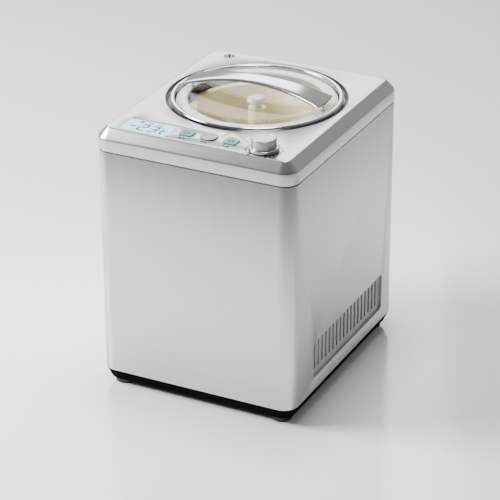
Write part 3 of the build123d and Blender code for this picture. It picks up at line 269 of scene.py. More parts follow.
def carved(mesh, cutters, operation="DIFFERENCE"):
    """The mesh with each cutter mesh taken away from it, or added to it."""
    holder = bpy.data.objects.new("work", mesh)
    bpy.context.scene.collection.objects.link(holder)
    tools = []
    for cutter in cutters:
        tool = bpy.data.objects.new("tool", cutter)
        bpy.context.scene.collection.objects.link(tool)
        tools.append(tool)
        cut = holder.modifiers.new("cut", "BOOLEAN")
        cut.operation = operation
        cut.solver = "EXACT"
        cut.object = tool
    bpy.context.view_layer.update()
    result = bpy.data.meshes.new_from_object(holder.evaluated_get(bpy.context.evaluated_depsgraph_get()))
    for each in tools + [holder]:
        bpy.data.objects.remove(each)
    result.name = mesh.name
    return result


def eased(mesh, width, segments=2, angle=40.0):
    """The mesh with every edge sharper than the angle rounded by the width."""
    holder = bpy.data.objects.new("work", mesh)
    bpy.context.scene.collection.objects.link(holder)
    bevel = holder.modifiers.new("ease", "BEVEL")
    bevel.width = width
    bevel.segments = segments
    bevel.limit_method = "ANGLE"
    bevel.angle_limit = math.radians(angle)
    bevel.use_clamp_overlap = True
    bpy.context.view_layer.update()
    result = bpy.data.meshes.new_from_object(holder.evaluated_get(bpy.context.evaluated_depsgraph_get()))
    bpy.data.objects.remove(holder)
    result.name = mesh.name
    return result


def turned_about(points, axis):
    """Maps points drawn in the X-Y plane, with height Z, so that Z lies along X or Y."""
    if axis == "x":
        return [(z, x, y) for x, y, z in points]
    return [(-x, z, y) for x, y, z in points]


def brushed_finish(name, colour, along, rough=0.34, metal=1.0):
    """Brushed metal: long hairlines one way, faint cloudiness, a few deeper scratches."""
    make = Finish(name)
    fine = tuple(9.0 if way == along else 1500.0 for way in "xyz")
    broad = tuple(1.2 if way == along else 160.0 for way in "xyz")
    hairline = make.grain(1.0, 2.0, vector=make.stretched(fine))
    band = make.grain(1.0, 2.0, vector=make.stretched(broad))
    cloud = make.grain(7.0, 2.0)
    tone = 0.5 * hairline + 0.3 * band + 0.2 * cloud
    colour = make.blend(tone, tuple(0.86 * c for c in colour), tuple(1.10 * c for c in colour))
    gloss = rough - 0.07 + 0.14 * hairline
    lines = make.bump(hairline + 0.5 * band, 0.10, 0.0001)
    return make.done(make.surface(Base_Color=colour, Metallic=metal, Roughness=gloss, Normal=lines))


shell_low, shell_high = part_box("body_shell")
width, depth = shell_high.x * 2, shell_high.y * 2
corner = 20 * mm
sheet = 1.2 * mm
turned_edge = 0.5 * mm


def inset(amount, height):
    return lifted(rounded(width - 2 * amount, depth - 2 * amount, corner - amount), height)


softened = 0.3 * turned_edge
wrap_rings = [inset(0, shell_low.z + turned_edge), inset(0, shell_high.z - turned_edge),
              inset(softened, shell_high.z - softened), inset(turned_edge, shell_high.z),
              inset(sheet, shell_high.z), inset(sheet, shell_low.z),
              inset(turned_edge, shell_low.z), inset(softened, shell_low.z + softened)]
grille_low, grille_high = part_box("right_side_grille")
grille_flange = 6 * mm
grille_radius = 6 * mm
grille_length = grille_high.y - grille_low.y - 2 * grille_flange
grille_tall = grille_high.z - grille_low.z - 2 * grille_flange
grille_middle = ((grille_high.y + grille_low.y) / 2, (grille_high.z + grille_low.z) / 2)
rear_low, rear_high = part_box("rear_cover")
rear_overlap = 9 * mm
rear_radius = 6 * mm
rear_middle = (0.0, (rear_low.z + rear_high.z) / 2)
side_hole = rounded(grille_length, grille_tall, grille_radius, grille_middle)
rear_hole = rounded(rear_high.x - rear_low.x - 2 * rear_overlap, rear_high.z - rear_low.z - 2 * rear_overlap,
                    rear_radius, rear_middle)


def crosswise(name, outline, start, stop, axis):
    """A prism that runs along X or Y, for holes and mouldings in the upright faces."""
    return skin(name, [turned_about(lifted(outline, place), axis) for place in (start, stop)])


side_cut = crosswise("side_cut", side_hole, -width, width, "x")
rear_cut = crosswise("rear_cut", rear_hole, 0.0, depth, "y")
wrap_steel = brushed_finish("wrap_steel", (0.62, 0.62, 0.625), "z", 0.32)
wrap_mesh = carved(skin("casing_wrap", wrap_rings, closed=True), [side_cut, rear_cut])
show("casing_wrap", eased(wrap_mesh, 0.3 * mm, 2, 60), wrap_steel, "housing",
     ["body_shell"])

# -------------------------------- top frame
# A pressed brushed-steel frame with an upright band, a broad chamfer and a flat deck.
# Its band stops just above the casing wrap and leaves a thin dark seam; the skirt that drops inside the wrap
# is left out.
frame_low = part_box("bezel_ring")[0].z
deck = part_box("display_window")[1].z - 0.3 * mm
band_low = shell_high.z + 1.2 * mm
band_high = band_low + 16 * mm
chamfer_in = 11 * mm
wall = 2.5 * mm
well = Vector((0.0, (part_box("bezel_ring")[0].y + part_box("bezel_ring")[1].y) / 2))
moat_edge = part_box("moat_ring")[1].x - 4 * mm

display_low, display_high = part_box("display_window")
key_boxes = {name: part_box(name) for name in ("power_button", "menu_button", "start_button")}
key_middle = {name: ((low.x + high.x) / 2, (low.y + high.y) / 2) for name, (low, high) in key_boxes.items()}
key_width, key_depth, key_corner = 18 * mm, 16 * mm, 3 * mm
key_gap = 0.4 * mm
knob_low, knob_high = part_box("control_knob")
knob_middle = ((knob_low.x + knob_high.x) / 2, (knob_low.y + knob_high.y) / 2)

frame_rings = [inset(chamfer_in + 2 * mm, deck - wall), inset(wall, band_high - 1.5 * mm),
               inset(wall, band_low), inset(turned_edge, band_low),
               inset(softened, band_low + softened), inset(0, band_low + turned_edge),
               inset(0, band_high - 1.2 * mm), inset(0.10 * mm, band_high - 0.5 * mm),
               inset(0.45 * mm, band_high + 0.3 * mm),
               inset(0.95 * mm, band_high + 1.2 * mm), inset(chamfer_in - 0.9 * mm, deck - 1.1 * mm),
               inset(chamfer_in - 0.2 * mm, deck - 0.35 * mm),
               inset(chamfer_in + 0.7 * mm, deck - 0.05 * mm),
               inset(chamfer_in + 1.6 * mm, deck)]
panel_wide, panel_deep = display_high.x - display_low.x, display_high.y - display_low.y
panel_gap = 0.2 * mm
display_middle = ((display_low.x + display_high.x) / 2, (display_low.y + display_high.y) / 2)
display_opening = rounded(panel_wide + 2 * panel_gap, panel_deep + 2 * panel_gap, 2 * mm, display_middle)
menu_radius = 9.7 * mm
bush_radius = 4.5 * mm
hole_low, hole_high = deck - 6 * mm, deck + 6 * mm
holes = [prism("well_cut", circle(moat_edge, well, 160), hole_low, hole_high),
         prism("display_cut", display_opening, hole_low, hole_high),
         prism("menu_cut", circle(menu_radius + key_gap, key_middle["menu_button"], 64), hole_low,
               hole_high),
         prism("knob_cut", circle(bush_radius + 0.2 * mm, knob_middle, 48), hole_low, hole_high)]
hole_width, hole_depth = key_width + 2 * key_gap, key_depth + 2 * key_gap
for name in ("power_button", "start_button"):
    opening = rounded(hole_width, hole_depth, key_corner + key_gap, key_middle[name])
    holes.append(prism("key_cut", opening, hole_low, hole_high))
deck_steel = brushed_finish("deck_steel", (0.47, 0.47, 0.475), "x", 0.30)
frame_mesh = carved(skin("top_frame_cover", frame_rings), holes)
show("top_frame_cover", eased(frame_mesh, 0.35 * mm, 2, 50), deck_steel, "housing",
     ["top_frame"])


# -------------------------------- moat ring and bezel ring
# A dished black trim ring closes the hole in the deck, and a polished chrome bead stands inside it.
# Both clip in from above and stay put when the lid comes off.
def fillets(corners, steps=6):
    """A line of (r, z, radius) corners with each corner rounded by its own radius."""
    points = []
    for k, (r, z, radius) in enumerate(corners):
        if radius == 0 or k in (0, len(corners) - 1):
            points.append((r, z))
            continue
        here = Vector((r, z))
        before = (Vector(corners[k - 1][:2]) - here).normalized()
        after = (Vector(corners[k + 1][:2]) - here).normalized()
        bend = before.angle(after)
        run = radius / math.tan(bend / 2)
        start, stop = here + before * run, here + after * run
        middle = here + (before + after).normalized() * (radius / math.sin(bend / 2))
        first, last = start - middle, stop - middle
        sweep = first.angle_signed(last)
        for step in range(steps + 1):
            turned = first.copy()
            turned.rotate(Matrix.Rotation(-sweep * step / steps, 2))
            points.append(tuple(middle + turned))
    return points


def lathe(name, profile, middle, closed=True, steps=144):
    """A turned mesh from (radius, height) points; points at radius 0 become a pole."""
    made = bmesh.new()
    rows = []
    for r, z in profile:
        if r < 1e-7:
            rows.append([made.verts.new((middle[0], middle[1], z))])
        else:
            rows.append([made.verts.new((x, y, z)) for x, y in circle(r, middle, steps)])
    pairs = list(zip(rows, rows[1:]))
    if closed:
        pairs.append((rows[-1], rows[0]))
    for lower, higher in pairs:
        if len(lower) == 1 and len(higher) == 1:
            continue
        for k in range(steps):
            if len(lower) == 1:
                made.faces.new((lower[0], higher[k], higher[k - 1]))
            elif len(higher) == 1:
                made.faces.new((lower[k - 1], lower[k], higher[0]))
            else:
                made.faces.new((lower[k - 1], lower[k], higher[k], higher[k - 1]))
    bmesh.ops.recalc_face_normals(made, faces=made.faces)
    mesh = bpy.data.meshes.new(name)
    made.to_mesh(mesh)
    made.free()
    return mesh


def moulded_finish(name, colour, rough=0.42, grain=900.0, depth=0.00004, coat=0.0, gloss=0.5):
    """Injection-moulded plastic: fine spark-eroded texture with slight colour and gloss drift."""
    make = Finish(name)
    pebble = make.grain(grain, 2.0)
    drift = make.grain(14.0, 3.0)
    dull, bright = tuple(0.90 * c for c in colour), tuple(min(1.0, 1.08 * c + 0.004) for c in colour)
    colour = make.blend(drift, dull, bright)
    return make.done(make.surface(Base_Color=colour, Roughness=rough - 0.05 + 0.10 * drift, Coat_Weight=coat,
                                  Specular_IOR_Level=gloss, Normal=make.bump(pebble, 0.25, depth)))


def polished_finish(name, colour, rough=0.06):
    """Chrome plate: mirror gloss with faint wipe marks that dull it here and there."""
    make = Finish(name)
    smear = make.grain(22.0, 4.0)
    fine = make.grain(350.0, 2.0)
    colour = make.blend(smear, tuple(0.94 * c for c in colour), colour)
    return make.done(make.surface(Base_Color=colour, Metallic=1.0, Roughness=rough + 0.06 * smear * fine,
                                  Normal=make.bump(smear, 0.02, 0.0002)))


bead_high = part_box("bezel_ring")[1]
bead_outer = bead_high.x
bead_width = 6 * mm
bead_inner = bead_outer - bead_width
gloss_black = moulded_finish("gloss_black", (0.018, 0.018, 0.02), 0.16, 500.0, 0.00001)
moat_floor, moat_foot = deck - 4 * mm, deck - 6.5 * mm
moat_brim = deck - 0.1 * mm
moat_profile = fillets([(bead_outer + 0.3 * mm, moat_foot, 0), (bead_outer + 0.3 * mm, moat_floor, 0),
                        (bead_outer + 1.2 * mm, moat_floor, 0.4 * mm),
                        (moat_edge - 0.7 * mm, moat_brim, 0.5 * mm),
                        (moat_edge - 0.15 * mm, moat_brim, 0.1 * mm), (moat_edge - 0.15 * mm, moat_floor, 0),
                        (bead_outer + 2 * mm, moat_foot, 0)])
show("moat_trim", lathe("moat_trim", moat_profile, well), gloss_black, "housing",
     ["moat_ring"])

bead_profile = fillets([(bead_inner, frame_low, 0), (bead_inner, bead_high.z, 2.6 * mm),
                        (bead_outer, bead_high.z, 2.6 * mm), (bead_outer, frame_low, 0)], 10)
bright_chrome = polished_finish("bright_chrome", (0.58, 0.58, 0.59))
show("bezel_bead", lathe("bezel_bead", bead_profile, well, steps=192), bright_chrome, "housing",
     ["bezel_ring"])

# -------------------------------- well collar
# The collar carries the lid: a silver seat on top and a black bore that runs down to the bowl's rim.
# It is one moulding, with the seat painted.
collar_low, collar_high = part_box("well_collar")
collar_outer = collar_high.x
collar_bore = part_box("lid_gasket")[1].x + mm - 13.5 * mm
seat_silver = moulded_finish("seat_silver", (0.60, 0.60, 0.61), 0.30)
bore_black = moulded_finish("bore_black", (0.016, 0.015, 0.015), 0.34)
collar_wall = 2 * mm
collar_seat = collar_high.z - 0.1 * mm
collar_under = collar_high.z - collar_wall
bore_profile = fillets([(collar_bore + collar_wall, collar_low.z, 0), (collar_bore, collar_low.z, 0),
                        (collar_bore, collar_high.z - 0.3 * mm, 0),
                        (collar_bore + 1 * mm, collar_seat, 0.5 * mm),
                        (collar_outer - 1 * mm, collar_seat, 0.5 * mm), (collar_outer, collar_low.z, 0),
                        (collar_outer - collar_wall, collar_low.z, 0),
                        (collar_outer - collar_wall, collar_under, 0),
                        (collar_bore + collar_wall, collar_under, 0)])
collar_mesh = lathe("collar_moulding", bore_profile, well)
collar_piece = show("collar_moulding", collar_mesh, [bore_black, seat_silver], "housing",
                    ["well_collar"])
for face in collar_piece.data.polygons:
    if face.center.z > collar_high.z - 0.9 * mm:
        face.material_index = 1

# -------------------------------- lid
# A clear acrylic lid with a thick rounded rim, a spigot that drops inside the collar and a thin flat window.
# It lies on a white silicone gasket and lifts straight off by its bridge handle.


def clear_finish(name, tint, mirror=0.02, rough=0.02, grazing=0.20):
    """Clear acrylic as a thin gloss over what lies behind it, stronger at grazing angles."""
    make = Finish(name)
    haze = make.grain(30.0, 3.0)
    sheen = make.node("ShaderNodeBsdfGlossy", {}, {"Color": tint, "Roughness": rough + 0.05 * haze})
    through = make.node("ShaderNodeBsdfTransparent", {}, {"Color": tint})
    edge = make.node("ShaderNodeLayerWeight", {}, {"Blend": 0.42}, out=1)
    amount = mirror + grazing * edge ** 4.0
    return make.done(make.node("ShaderNodeMixShader", {}, {0: amount, 1: through, 2: sheen}))


lid_low, lid_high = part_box("lid_window")
lid_radius = lid_high.x
seat = collar_high.z
spigot = collar_bore - 0.6 * mm
rim_low = seat + 1.4 * mm
window_high = lid_high.z - 2 * mm
window_low = window_high - 2.5 * mm
lid_profile = fillets([(0, window_low, 0), (spigot - 2 * mm, window_low, 1.0 * mm),
                       (spigot - 2 * mm, lid_low.z, 0.4 * mm), (spigot, lid_low.z, 0.4 * mm),
                       (spigot, rim_low, 0), (lid_radius, rim_low, 0.8 * mm),
                       (lid_radius, lid_high.z, 4.2 * mm), (spigot + 1.6 * mm, lid_high.z, 1.4 * mm),
                       (spigot - 0.6 * mm, window_high, 0.8 * mm), (0, window_high, 0)], 8)
clear_acrylic = clear_finish("clear_acrylic", (0.97, 0.98, 0.97))
show("lid_moulding", lathe("lid_moulding", lid_profile, well, closed=False, steps=192), clear_acrylic, "lid",
     ["lid_window"])

gasket_low, gasket_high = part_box("lid_gasket")
gasket_inner = collar_bore + 1 * mm
gasket_profile = fillets([(gasket_inner, gasket_low.z, 0), (gasket_inner, gasket_high.z, 0.4 * mm),
                          (gasket_high.x, gasket_high.z, 0.4 * mm), (gasket_high.x, gasket_low.z, 0.4 * mm),
                          (gasket_inner, gasket_low.z, 0)], 4)
white_silicone = moulded_finish("white_silicone", (0.74, 0.74, 0.72), 0.5)
show("lid_seal", lathe("lid_seal", gasket_profile[:-1], well), white_silicone, "lid",
     ["lid_gasket"])

# -------------------------------- lid handle
# A bright arched strap that bridges the lid from rim to rim, wider at its feet.
# A screw comes up through the rim into each foot.
grip_low, grip_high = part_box("lid_handle")
grip_reach = grip_high.x
grip_half_end = (grip_high.y - grip_low.y) / 2
grip_half_middle = 15 * mm
grip_rise = grip_high.z - grip_low.z
grip_thick = 5 * mm
grip_foot_start = 88.5 * mm


def strap_section(along):
    """One cross-section of the strap: crowned above, flatter below, at a place from -1 to 1 along it."""
    run = abs(along)
    half_wide = grip_half_middle + (grip_half_end - grip_half_middle) * run ** 2
    x = along * grip_reach
    top = grip_high.z - (grip_rise - 2.2 * mm) * run ** 2
    drop = (grip_rise - grip_thick) * (run * grip_reach / grip_foot_start) ** 2
    bottom = max(grip_low.z, grip_high.z - grip_thick - drop)
    points = []
    for k in range(40):
        turn = 2 * math.pi * k / 40
        side = math.copysign(abs(math.cos(turn)) ** 0.45, math.cos(turn))
        lift = math.copysign(abs(math.sin(turn)) ** 0.7, math.sin(turn))
        y = side * half_wide
        pull = 0.0
        if run > 0.9:
            pull = (run - 0.9) / 0.1 * (grip_reach - math.sqrt(grip_reach ** 2 - y ** 2))
        height = (top + bottom) / 2 + lift * (top - bottom) / 2
        points.append((x - math.copysign(pull, along), well.y + y, height))
    return points


strap = skin("lid_bridge", [strap_section(-1 + 2 * k / 72) for k in range(73)])
satin_strap = polished_finish("satin_strap", (0.56, 0.56, 0.55), 0.12)
show("lid_bridge", strap, satin_strap, "lid", ["lid_handle"], 50.0)

# -------------------------------- bowl
# The lift-out ice bowl: deep-drawn aluminium with a cream ceramic coating, a rolled rim and a central tube
# that the drive shaft passes through.
bowl_low, bowl_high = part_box("ice_bowl")
bowl_rim = bowl_high.x
bowl_outer = bowl_rim - 7.5 * mm
bowl_wall = 1.5 * mm
tube_outer, tube_inner = 8 * mm, 6.5 * mm
tube_top = bowl_low.z + 117.2 * mm


def coated_finish(name, colour):
    """Ceramic-coated aluminium: satin gloss with fine orange peel and faint spun rings."""
    make = Finish(name)
    peel = make.grain(420.0, 2.0)
    height = make.node("ShaderNodeSeparateXYZ", {}, {0: make.place()}, out=2)
    rings = (height * 2400.0).wave()
    drift = make.grain(18.0, 3.0)
    colour = make.blend(drift, tuple(0.93 * c for c in colour), colour)
    return make.done(make.surface(Base_Color=colour, Metallic=0.0, Roughness=0.42 + 0.08 * drift,
                                  Normal=make.bump(peel + 0.3 * rings, 0.12, 0.00005)))


rim_under = bowl_high.z - bowl_wall
bowl_profile = fillets([(tube_inner, tube_top, 0), (tube_inner, bowl_low.z, 0),
                        (bowl_outer, bowl_low.z, 10 * mm),
                        (bowl_outer, rim_under, 0.6 * mm), (bowl_rim, rim_under, 0.5 * mm),
                        (bowl_rim, bowl_high.z, 0.8 * mm), (bowl_outer - bowl_wall, bowl_high.z, 1.2 * mm),
                        (bowl_outer - bowl_wall, bowl_low.z + bowl_wall, 8.5 * mm),
                        (tube_outer, bowl_low.z + bowl_wall, 1.0 * mm), (tube_outer, tube_top, 0.4 * mm),
                        (tube_inner, tube_top, 0)], 8)
cream_coat = coated_finish("cream_coat", (0.98, 0.88, 0.62))
show("bowl_shell", lathe("bowl_shell", bowl_profile[:-1], well, steps=160), cream_coat, "ice_bowl",
     ["ice_bowl"])

# -------------------------------- paddle cap
# A white mushroom-shaped button that plugs into the top of the paddle.
cap_low, cap_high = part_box("paddle_cap")
cap_radius = cap_high.x
cap_under = cap_high.z - 7 * mm
food_white = moulded_finish("food_white", (0.84, 0.82, 0.76), 0.24, 700.0, 0.00001, 0.3)
cap_profile = fillets([(0, cap_low.z, 0), (3 * mm, cap_low.z, 0), (3 * mm, cap_low.z + 3.8 * mm, 0),
                       (5.5 * mm, cap_low.z + 3.8 * mm, 0), (5.5 * mm, cap_under, 1.5 * mm),
                       (cap_radius, cap_under, 0.8 * mm), (cap_radius, cap_high.z, 4.8 * mm),
                       (0, cap_high.z, 0)], 8)
cap_mesh = lathe("paddle_button", cap_profile, well, closed=False, steps=96)
show("paddle_button", cap_mesh, food_white, "paddle", ["paddle_cap"])

# -------------------------------- control dial
# A turned aluminium knob on a broad skirt, with one index line; it turns without stops on a rotary encoder.
# Black ticks printed on the deck ring it.
skirt_radius = knob_high.x - knob_middle[0]
knob_profile = fillets([(3.2 * mm, knob_low.z + 0.2 * mm, 0), (skirt_radius, knob_low.z, 0.5 * mm),
                        (skirt_radius, knob_low.z + 3.7 * mm, 1.3 * mm),
                        (15.5 * mm, knob_low.z + 3.4 * mm, 0.6 * mm), (15.5 * mm, knob_high.z, 1.1 * mm),
                        (12.5 * mm, knob_high.z, 0.2 * mm), (12.2 * mm, knob_high.z - 0.35 * mm, 0.2 * mm),
                        (0, knob_high.z - 0.35 * mm, 0)], 6)


def spun_finish(name, colour, middle, rough=0.26):
    """Turned aluminium: fine rings about the axis over a bright base."""
    make = Finish(name)
    arm = make.node("ShaderNodeVectorMath", {"operation": "SUBTRACT"}, {0: make.place(), 1: (*middle, 0.0)})
    flat = make.node("ShaderNodeVectorMath", {"operation": "MULTIPLY"}, {0: arm, 1: (1.0, 1.0, 0.0)})
    radius = make.node("ShaderNodeVectorMath", {"operation": "LENGTH"}, {0: flat}, out=1)
    rings = (radius * 16000.0).wave()
    drift = make.grain(120.0, 3.0)
    colour = make.blend(0.5 * rings + 0.5 * drift, tuple(0.90 * c for c in colour), colour)
    return make.done(make.surface(Base_Color=colour, Metallic=1.0, Roughness=rough + 0.08 * drift,
                                  Normal=make.bump(rings, 0.10, 0.00003)))


spun_aluminium = spun_finish("spun_aluminium", (0.40, 0.40, 0.41), knob_middle)
dial_mesh = lathe("dial", knob_profile, knob_middle, closed=False, steps=128)
show("dial", dial_mesh, spun_aluminium, "control_knob", ["control_knob"], 28.0)
print_black = moulded_finish("print_black", (0.008, 0.008, 0.009), 0.7, gloss=0.0)
index_outline = rounded(0.9 * mm, 5 * mm, 0.4 * mm, (knob_middle[0], knob_middle[1] + 8.5 * mm), 4)
dial_index = prism("dial_index", index_outline, knob_high.z - 0.5 * mm, knob_high.z - 0.25 * mm)
show("dial_index", dial_index, print_black, "control_knob")


def joined(name, meshes):
    """Several loose meshes as one piece."""
    made = bmesh.new()
    for mesh in meshes:
        made.from_mesh(mesh)
    result = bpy.data.meshes.new(name)
    made.to_mesh(result)
    made.free()
    return result


def strip(start, stop, thick, low, high):
    """A straight printed or moulded bar from one point to another."""
    run = Vector(stop) - Vector(start)
    side = Vector((-run.y, run.x)).normalized() * thick / 2
    corners = [Vector(start) - side, Vector(stop) - side, Vector(stop) + side, Vector(start) + side]
    return prism("strip", [tuple(c) for c in corners], low, high)


ink_low, ink_high = deck - 0.05 * mm, deck + 0.12 * mm
ticks = []
for k in range(21):
    turn = math.radians(-60 + 15 * k)
    arm = Vector((math.cos(turn), math.sin(turn)))
    near, far = (20.6, 24.6) if k % 5 == 0 else (20.8, 23.6)
    ticks.append(strip(Vector(knob_middle) + arm * near * mm, Vector(knob_middle) + arm * far * mm, 1.7 * mm,
                       ink_low, ink_high))
show("dial_ticks", joined("dial_ticks", ticks), print_black, "housing")

# -------------------------------- keys
# Two backlit square keys and a round silver key between them, each moulded with a flange under the deck.
# The square keys have printed marks, a printed ring stands round the silver one, and short bars below each.


def lit_finish(name, colour, glow):
    """Backlit translucent plastic: satin on top, with a faint glow and slight mottling."""
    make = Finish(name)
    drift = make.grain(160.0, 2.0)
    tone = make.blend(drift, tuple(0.90 * c for c in colour), colour)
    return make.done(make.surface(Base_Color=tone, Roughness=0.25 + 0.1 * drift, Emission_Color=tone,
                                  Emission_Strength=glow, Specular_IOR_Level=0.12))


key_blue = lit_finish("key_blue", (0.10, 0.27, 0.33), 0.05)
key_silver = moulded_finish("key_silver", (0.26, 0.26, 0.265), 0.34)
flange_low, flange_high = deck - 4.3 * mm, deck - 2.8 * mm
for name in ("power_button", "start_button"):
    low, high = key_boxes[name]
    middle = key_middle[name]
    stem = rounded(6 * mm, 6 * mm, 2.9 * mm, middle)
    flange = rounded(key_width + 2.6 * mm, key_depth + 2.6 * mm, key_corner, middle)
    sides = rounded(key_width, key_depth, key_corner, middle)
    key_rings = [lifted(stem, low.z), lifted(stem, flange_low), lifted(flange, flange_low),
                 lifted(flange, flange_high), lifted(sides, flange_high), lifted(sides, high.z - 0.9 * mm)]
    for narrower, radius, below in ((0.6, 2.7, 0.25), (1.6, 2.2, 0.02), (3.0, 1.8, 0.12)):
        crown = rounded(key_width - narrower * mm, key_depth - narrower * mm, radius * mm, middle)
        key_rings.append(lifted(crown, high.z - below * mm))
    show(name + "_key", skin(name, key_rings), key_blue, name, [name])

menu_low, menu_high = key_boxes["menu_button"]
menu_middle = key_middle["menu_button"]
menu_dish = menu_high.z - 0.5 * mm
menu_profile = fillets([(0, menu_low.z, 0), (3 * mm, menu_low.z, 0), (3 * mm, flange_low, 0),
                        (11.3 * mm, flange_low, 0), (11.3 * mm, flange_high, 0),
                        (menu_radius, flange_high, 0), (menu_radius, menu_high.z, 0.8 * mm),
                        (7.6 * mm, menu_high.z, 0.4 * mm),
                        (5.6 * mm, menu_dish, 1.5 * mm), (0, menu_dish, 0)], 5)
menu_mesh = lathe("menu_key", menu_profile, menu_middle, closed=False, steps=72)
show("menu_key", menu_mesh, key_silver, "menu_button", ["menu_button"])
halo_inner, halo_outer = 10.4 * mm, 11.3 * mm
halo_profile = [(halo_inner, ink_low), (halo_outer, ink_low), (halo_outer, ink_high), (halo_inner, ink_high)]
halo_mesh = lathe("menu_halo", halo_profile, menu_middle, steps=72)
show("menu_halo", halo_mesh, print_black, "housing")


def ring_mark(middle, radius, thick, low, high, start=0, stop=360):
    """An arc of printed line."""
    marks = []
    count = max(6, round((stop - start) / 12))
    for k in range(count):
        a, b = (math.radians(start + (stop - start) * step / count) for step in (k, k + 1))
        centre = Vector(middle)
        marks.append(strip(centre + Vector((math.cos(a), math.sin(a))) * radius,
                           centre + Vector((math.cos(b), math.sin(b))) * radius, thick, low, high))
    return marks


def flake(middle, size, thick, low, high):
    """A six-armed ice crystal with a pair of barbs on each arm."""
    marks = []
    centre = Vector(middle)
    for k in range(6):
        arm = Vector((math.cos(math.pi * k / 3), math.sin(math.pi * k / 3)))
        side = Vector((-arm.y, arm.x))
        marks.append(strip(centre, centre + arm * size, thick, low, high))
        for way in (-1, 1):
            tip = centre + (arm * 0.85 + side * way * 0.28) * size
            marks.append(strip(centre + arm * size * 0.55, tip, thick, low, high))
    return marks


key_ink = moulded_finish("key_ink", (0.01, 0.05, 0.09), 0.7, gloss=0.0)
for name in ("power_button", "start_button"):
    mark_low = key_boxes[name][1].z - 0.14 * mm
    mark_high = mark_low + 0.06 * mm
    x, y = key_middle[name]
    if name == "power_button":
        marks = ring_mark((x, y), 3.4 * mm, 1.4 * mm, mark_low, mark_high, 120, 420)
        marks.append(strip((x, y + 1 * mm), (x, y + 4.6 * mm), 1.6 * mm, mark_low, mark_high))
    else:
        marks = [strip((bar, y - 3 * mm), (bar, y + 3 * mm), 2.2 * mm, mark_low, mark_high)
                 for bar in (x - 2.2 * mm, x + 2.2 * mm)]
    show(name + "_mark", joined("mark", marks), key_ink, name)

caption_y = key_boxes["power_button"][0].y - 5.5 * mm
caption_long, caption_thick = 10 * mm, 2.6 * mm
captions = []
for name, count in (("power_button", 2), ("menu_button", 3), ("start_button", 2)):
    first_x = key_middle[name][0] - caption_long / 2
    for k in range(count):
        start = (first_x + caption_long * k / count + 0.5 * mm, caption_y)
        stop = (first_x + caption_long * (k + 1) / count - 0.6 * mm, caption_y)
        captions.append(strip(start, stop, caption_thick, ink_low, ink_high))
show("key_captions", joined("key_captions", captions), print_black, "housing")

badge_spot = (-97 * mm, 133 * mm)
badge = flake(badge_spot, 8 * mm, 1.8 * mm, ink_low, ink_high)
show("deck_badge", joined("deck_badge", badge), print_black, "housing")

# -------------------------------- display
# A liquid-crystal panel lit pale blue from behind, under a flush clear cover.
# It reads the temperature in plain seven-segment digits.
panel_high = display_high.z - 0.9 * mm
cover_bevel = 0.25 * mm
panel_outline = rounded(panel_wide, panel_deep, 2 * mm, display_middle)
cover_outline = rounded(panel_wide - 2 * cover_bevel, panel_deep - 2 * cover_bevel, 1.8 * mm, display_middle)
panel_blue = lit_finish("panel_blue", (0.52, 0.78, 0.88), 0.25)
panel_mesh = prism("display_panel", panel_outline, display_low.z, panel_high)
show("display_panel", panel_mesh, panel_blue, "housing", ["display_window"])
cover_rings = [lifted(panel_outline, panel_high + 0.25 * mm),
               lifted(panel_outline, display_high.z - cover_bevel),
               lifted(cover_outline, display_high.z)]
cover_clear = clear_finish("display_cover_clear", (0.98, 0.99, 1.0), 0.0, 0.02, 0.05)
show("display_cover", skin("display_cover", cover_rings), cover_clear, "housing")
segments = {"a": ((0, 2), (1, 2)), "b": ((1, 2), (1, 1)), "c": ((1, 1), (1, 0)), "d": ((0, 0), (1, 0)),
            "e": ((0, 1), (0, 0)), "f": ((0, 2), (0, 1)), "g": ((0, 1), (1, 1))}
shapes = {"2": "abged", "3": "abgcd", "-": "g", "C": "afed"}
digit_ink = []
ink_base, ink_face = panel_high - 0.02 * mm, panel_high + 0.05 * mm


def digit(character, x, y, wide, tall):
    """One seven-segment character with its lower left corner at (x, y)."""
    lean = 0.12
    for segment in shapes[character]:
        ends = [Vector((x + u * wide + lean * v * tall / 2, y + v * tall / 2)) for u, v in segments[segment]]
        gap = (ends[1] - ends[0]).normalized() * 0.35 * mm
        digit_ink.append(strip(ends[0] + gap, ends[1] - gap, 2.5 * mm, ink_base, ink_face))


digit_y = display_low.y + 6.5 * mm
for k, character in enumerate("-23"):
    digit(character, display_low.x + (8 + 14.5 * k) * mm, digit_y, 9 * mm, 17 * mm)
unit_x = display_low.x + 54 * mm
digit("C", unit_x, digit_y, 4.6 * mm, 9 * mm)
digit_ink += ring_mark((unit_x, digit_y + 12.5 * mm), 1.4 * mm, 1.0 * mm, ink_base, ink_face)
icon_y = display_high.y - 5.5 * mm
digit_ink += flake((display_low.x + 20 * mm, icon_y), 3.2 * mm, 1.0 * mm, ink_base, ink_face)
digit_ink += ring_mark((display_low.x + 32 * mm, icon_y), 2.6 * mm, 1.2 * mm, ink_base, ink_face)
for k in range(4):
    x = display_low.x + (41 + 2.4 * k) * mm
    digit_ink.append(strip((x, icon_y - 2 * mm), (x, icon_y + (k - 1) * mm), 1.3 * mm, ink_base, ink_face))
digit_black = moulded_finish("digit_ink", (0.006, 0.010, 0.020), 0.7, gloss=0.0)
show("display_digits", joined("display_digits", digit_ink), digit_black, "housing")

# -------------------------------- base tray and feet
# The black base is a drafted plastic tray with a fine shadow groove under the steel.
# Four moulded rubber feet press into it.
tray_top = shell_low.z
tray_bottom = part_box("base_tray")[0].z
draft = 7.5 * mm
tray_wall = 3.4 * mm
slot_width, slot_radius = 5 * mm, 2.49 * mm
tray_tall = tray_top - tray_bottom


def tray_ring(share, extra=0.0):
    """Outline of the tray at a share of its height, from 0 at the bottom to 1 at the steel."""
    return inset(draft * (1 - share) + extra, tray_bottom + tray_tall * share)


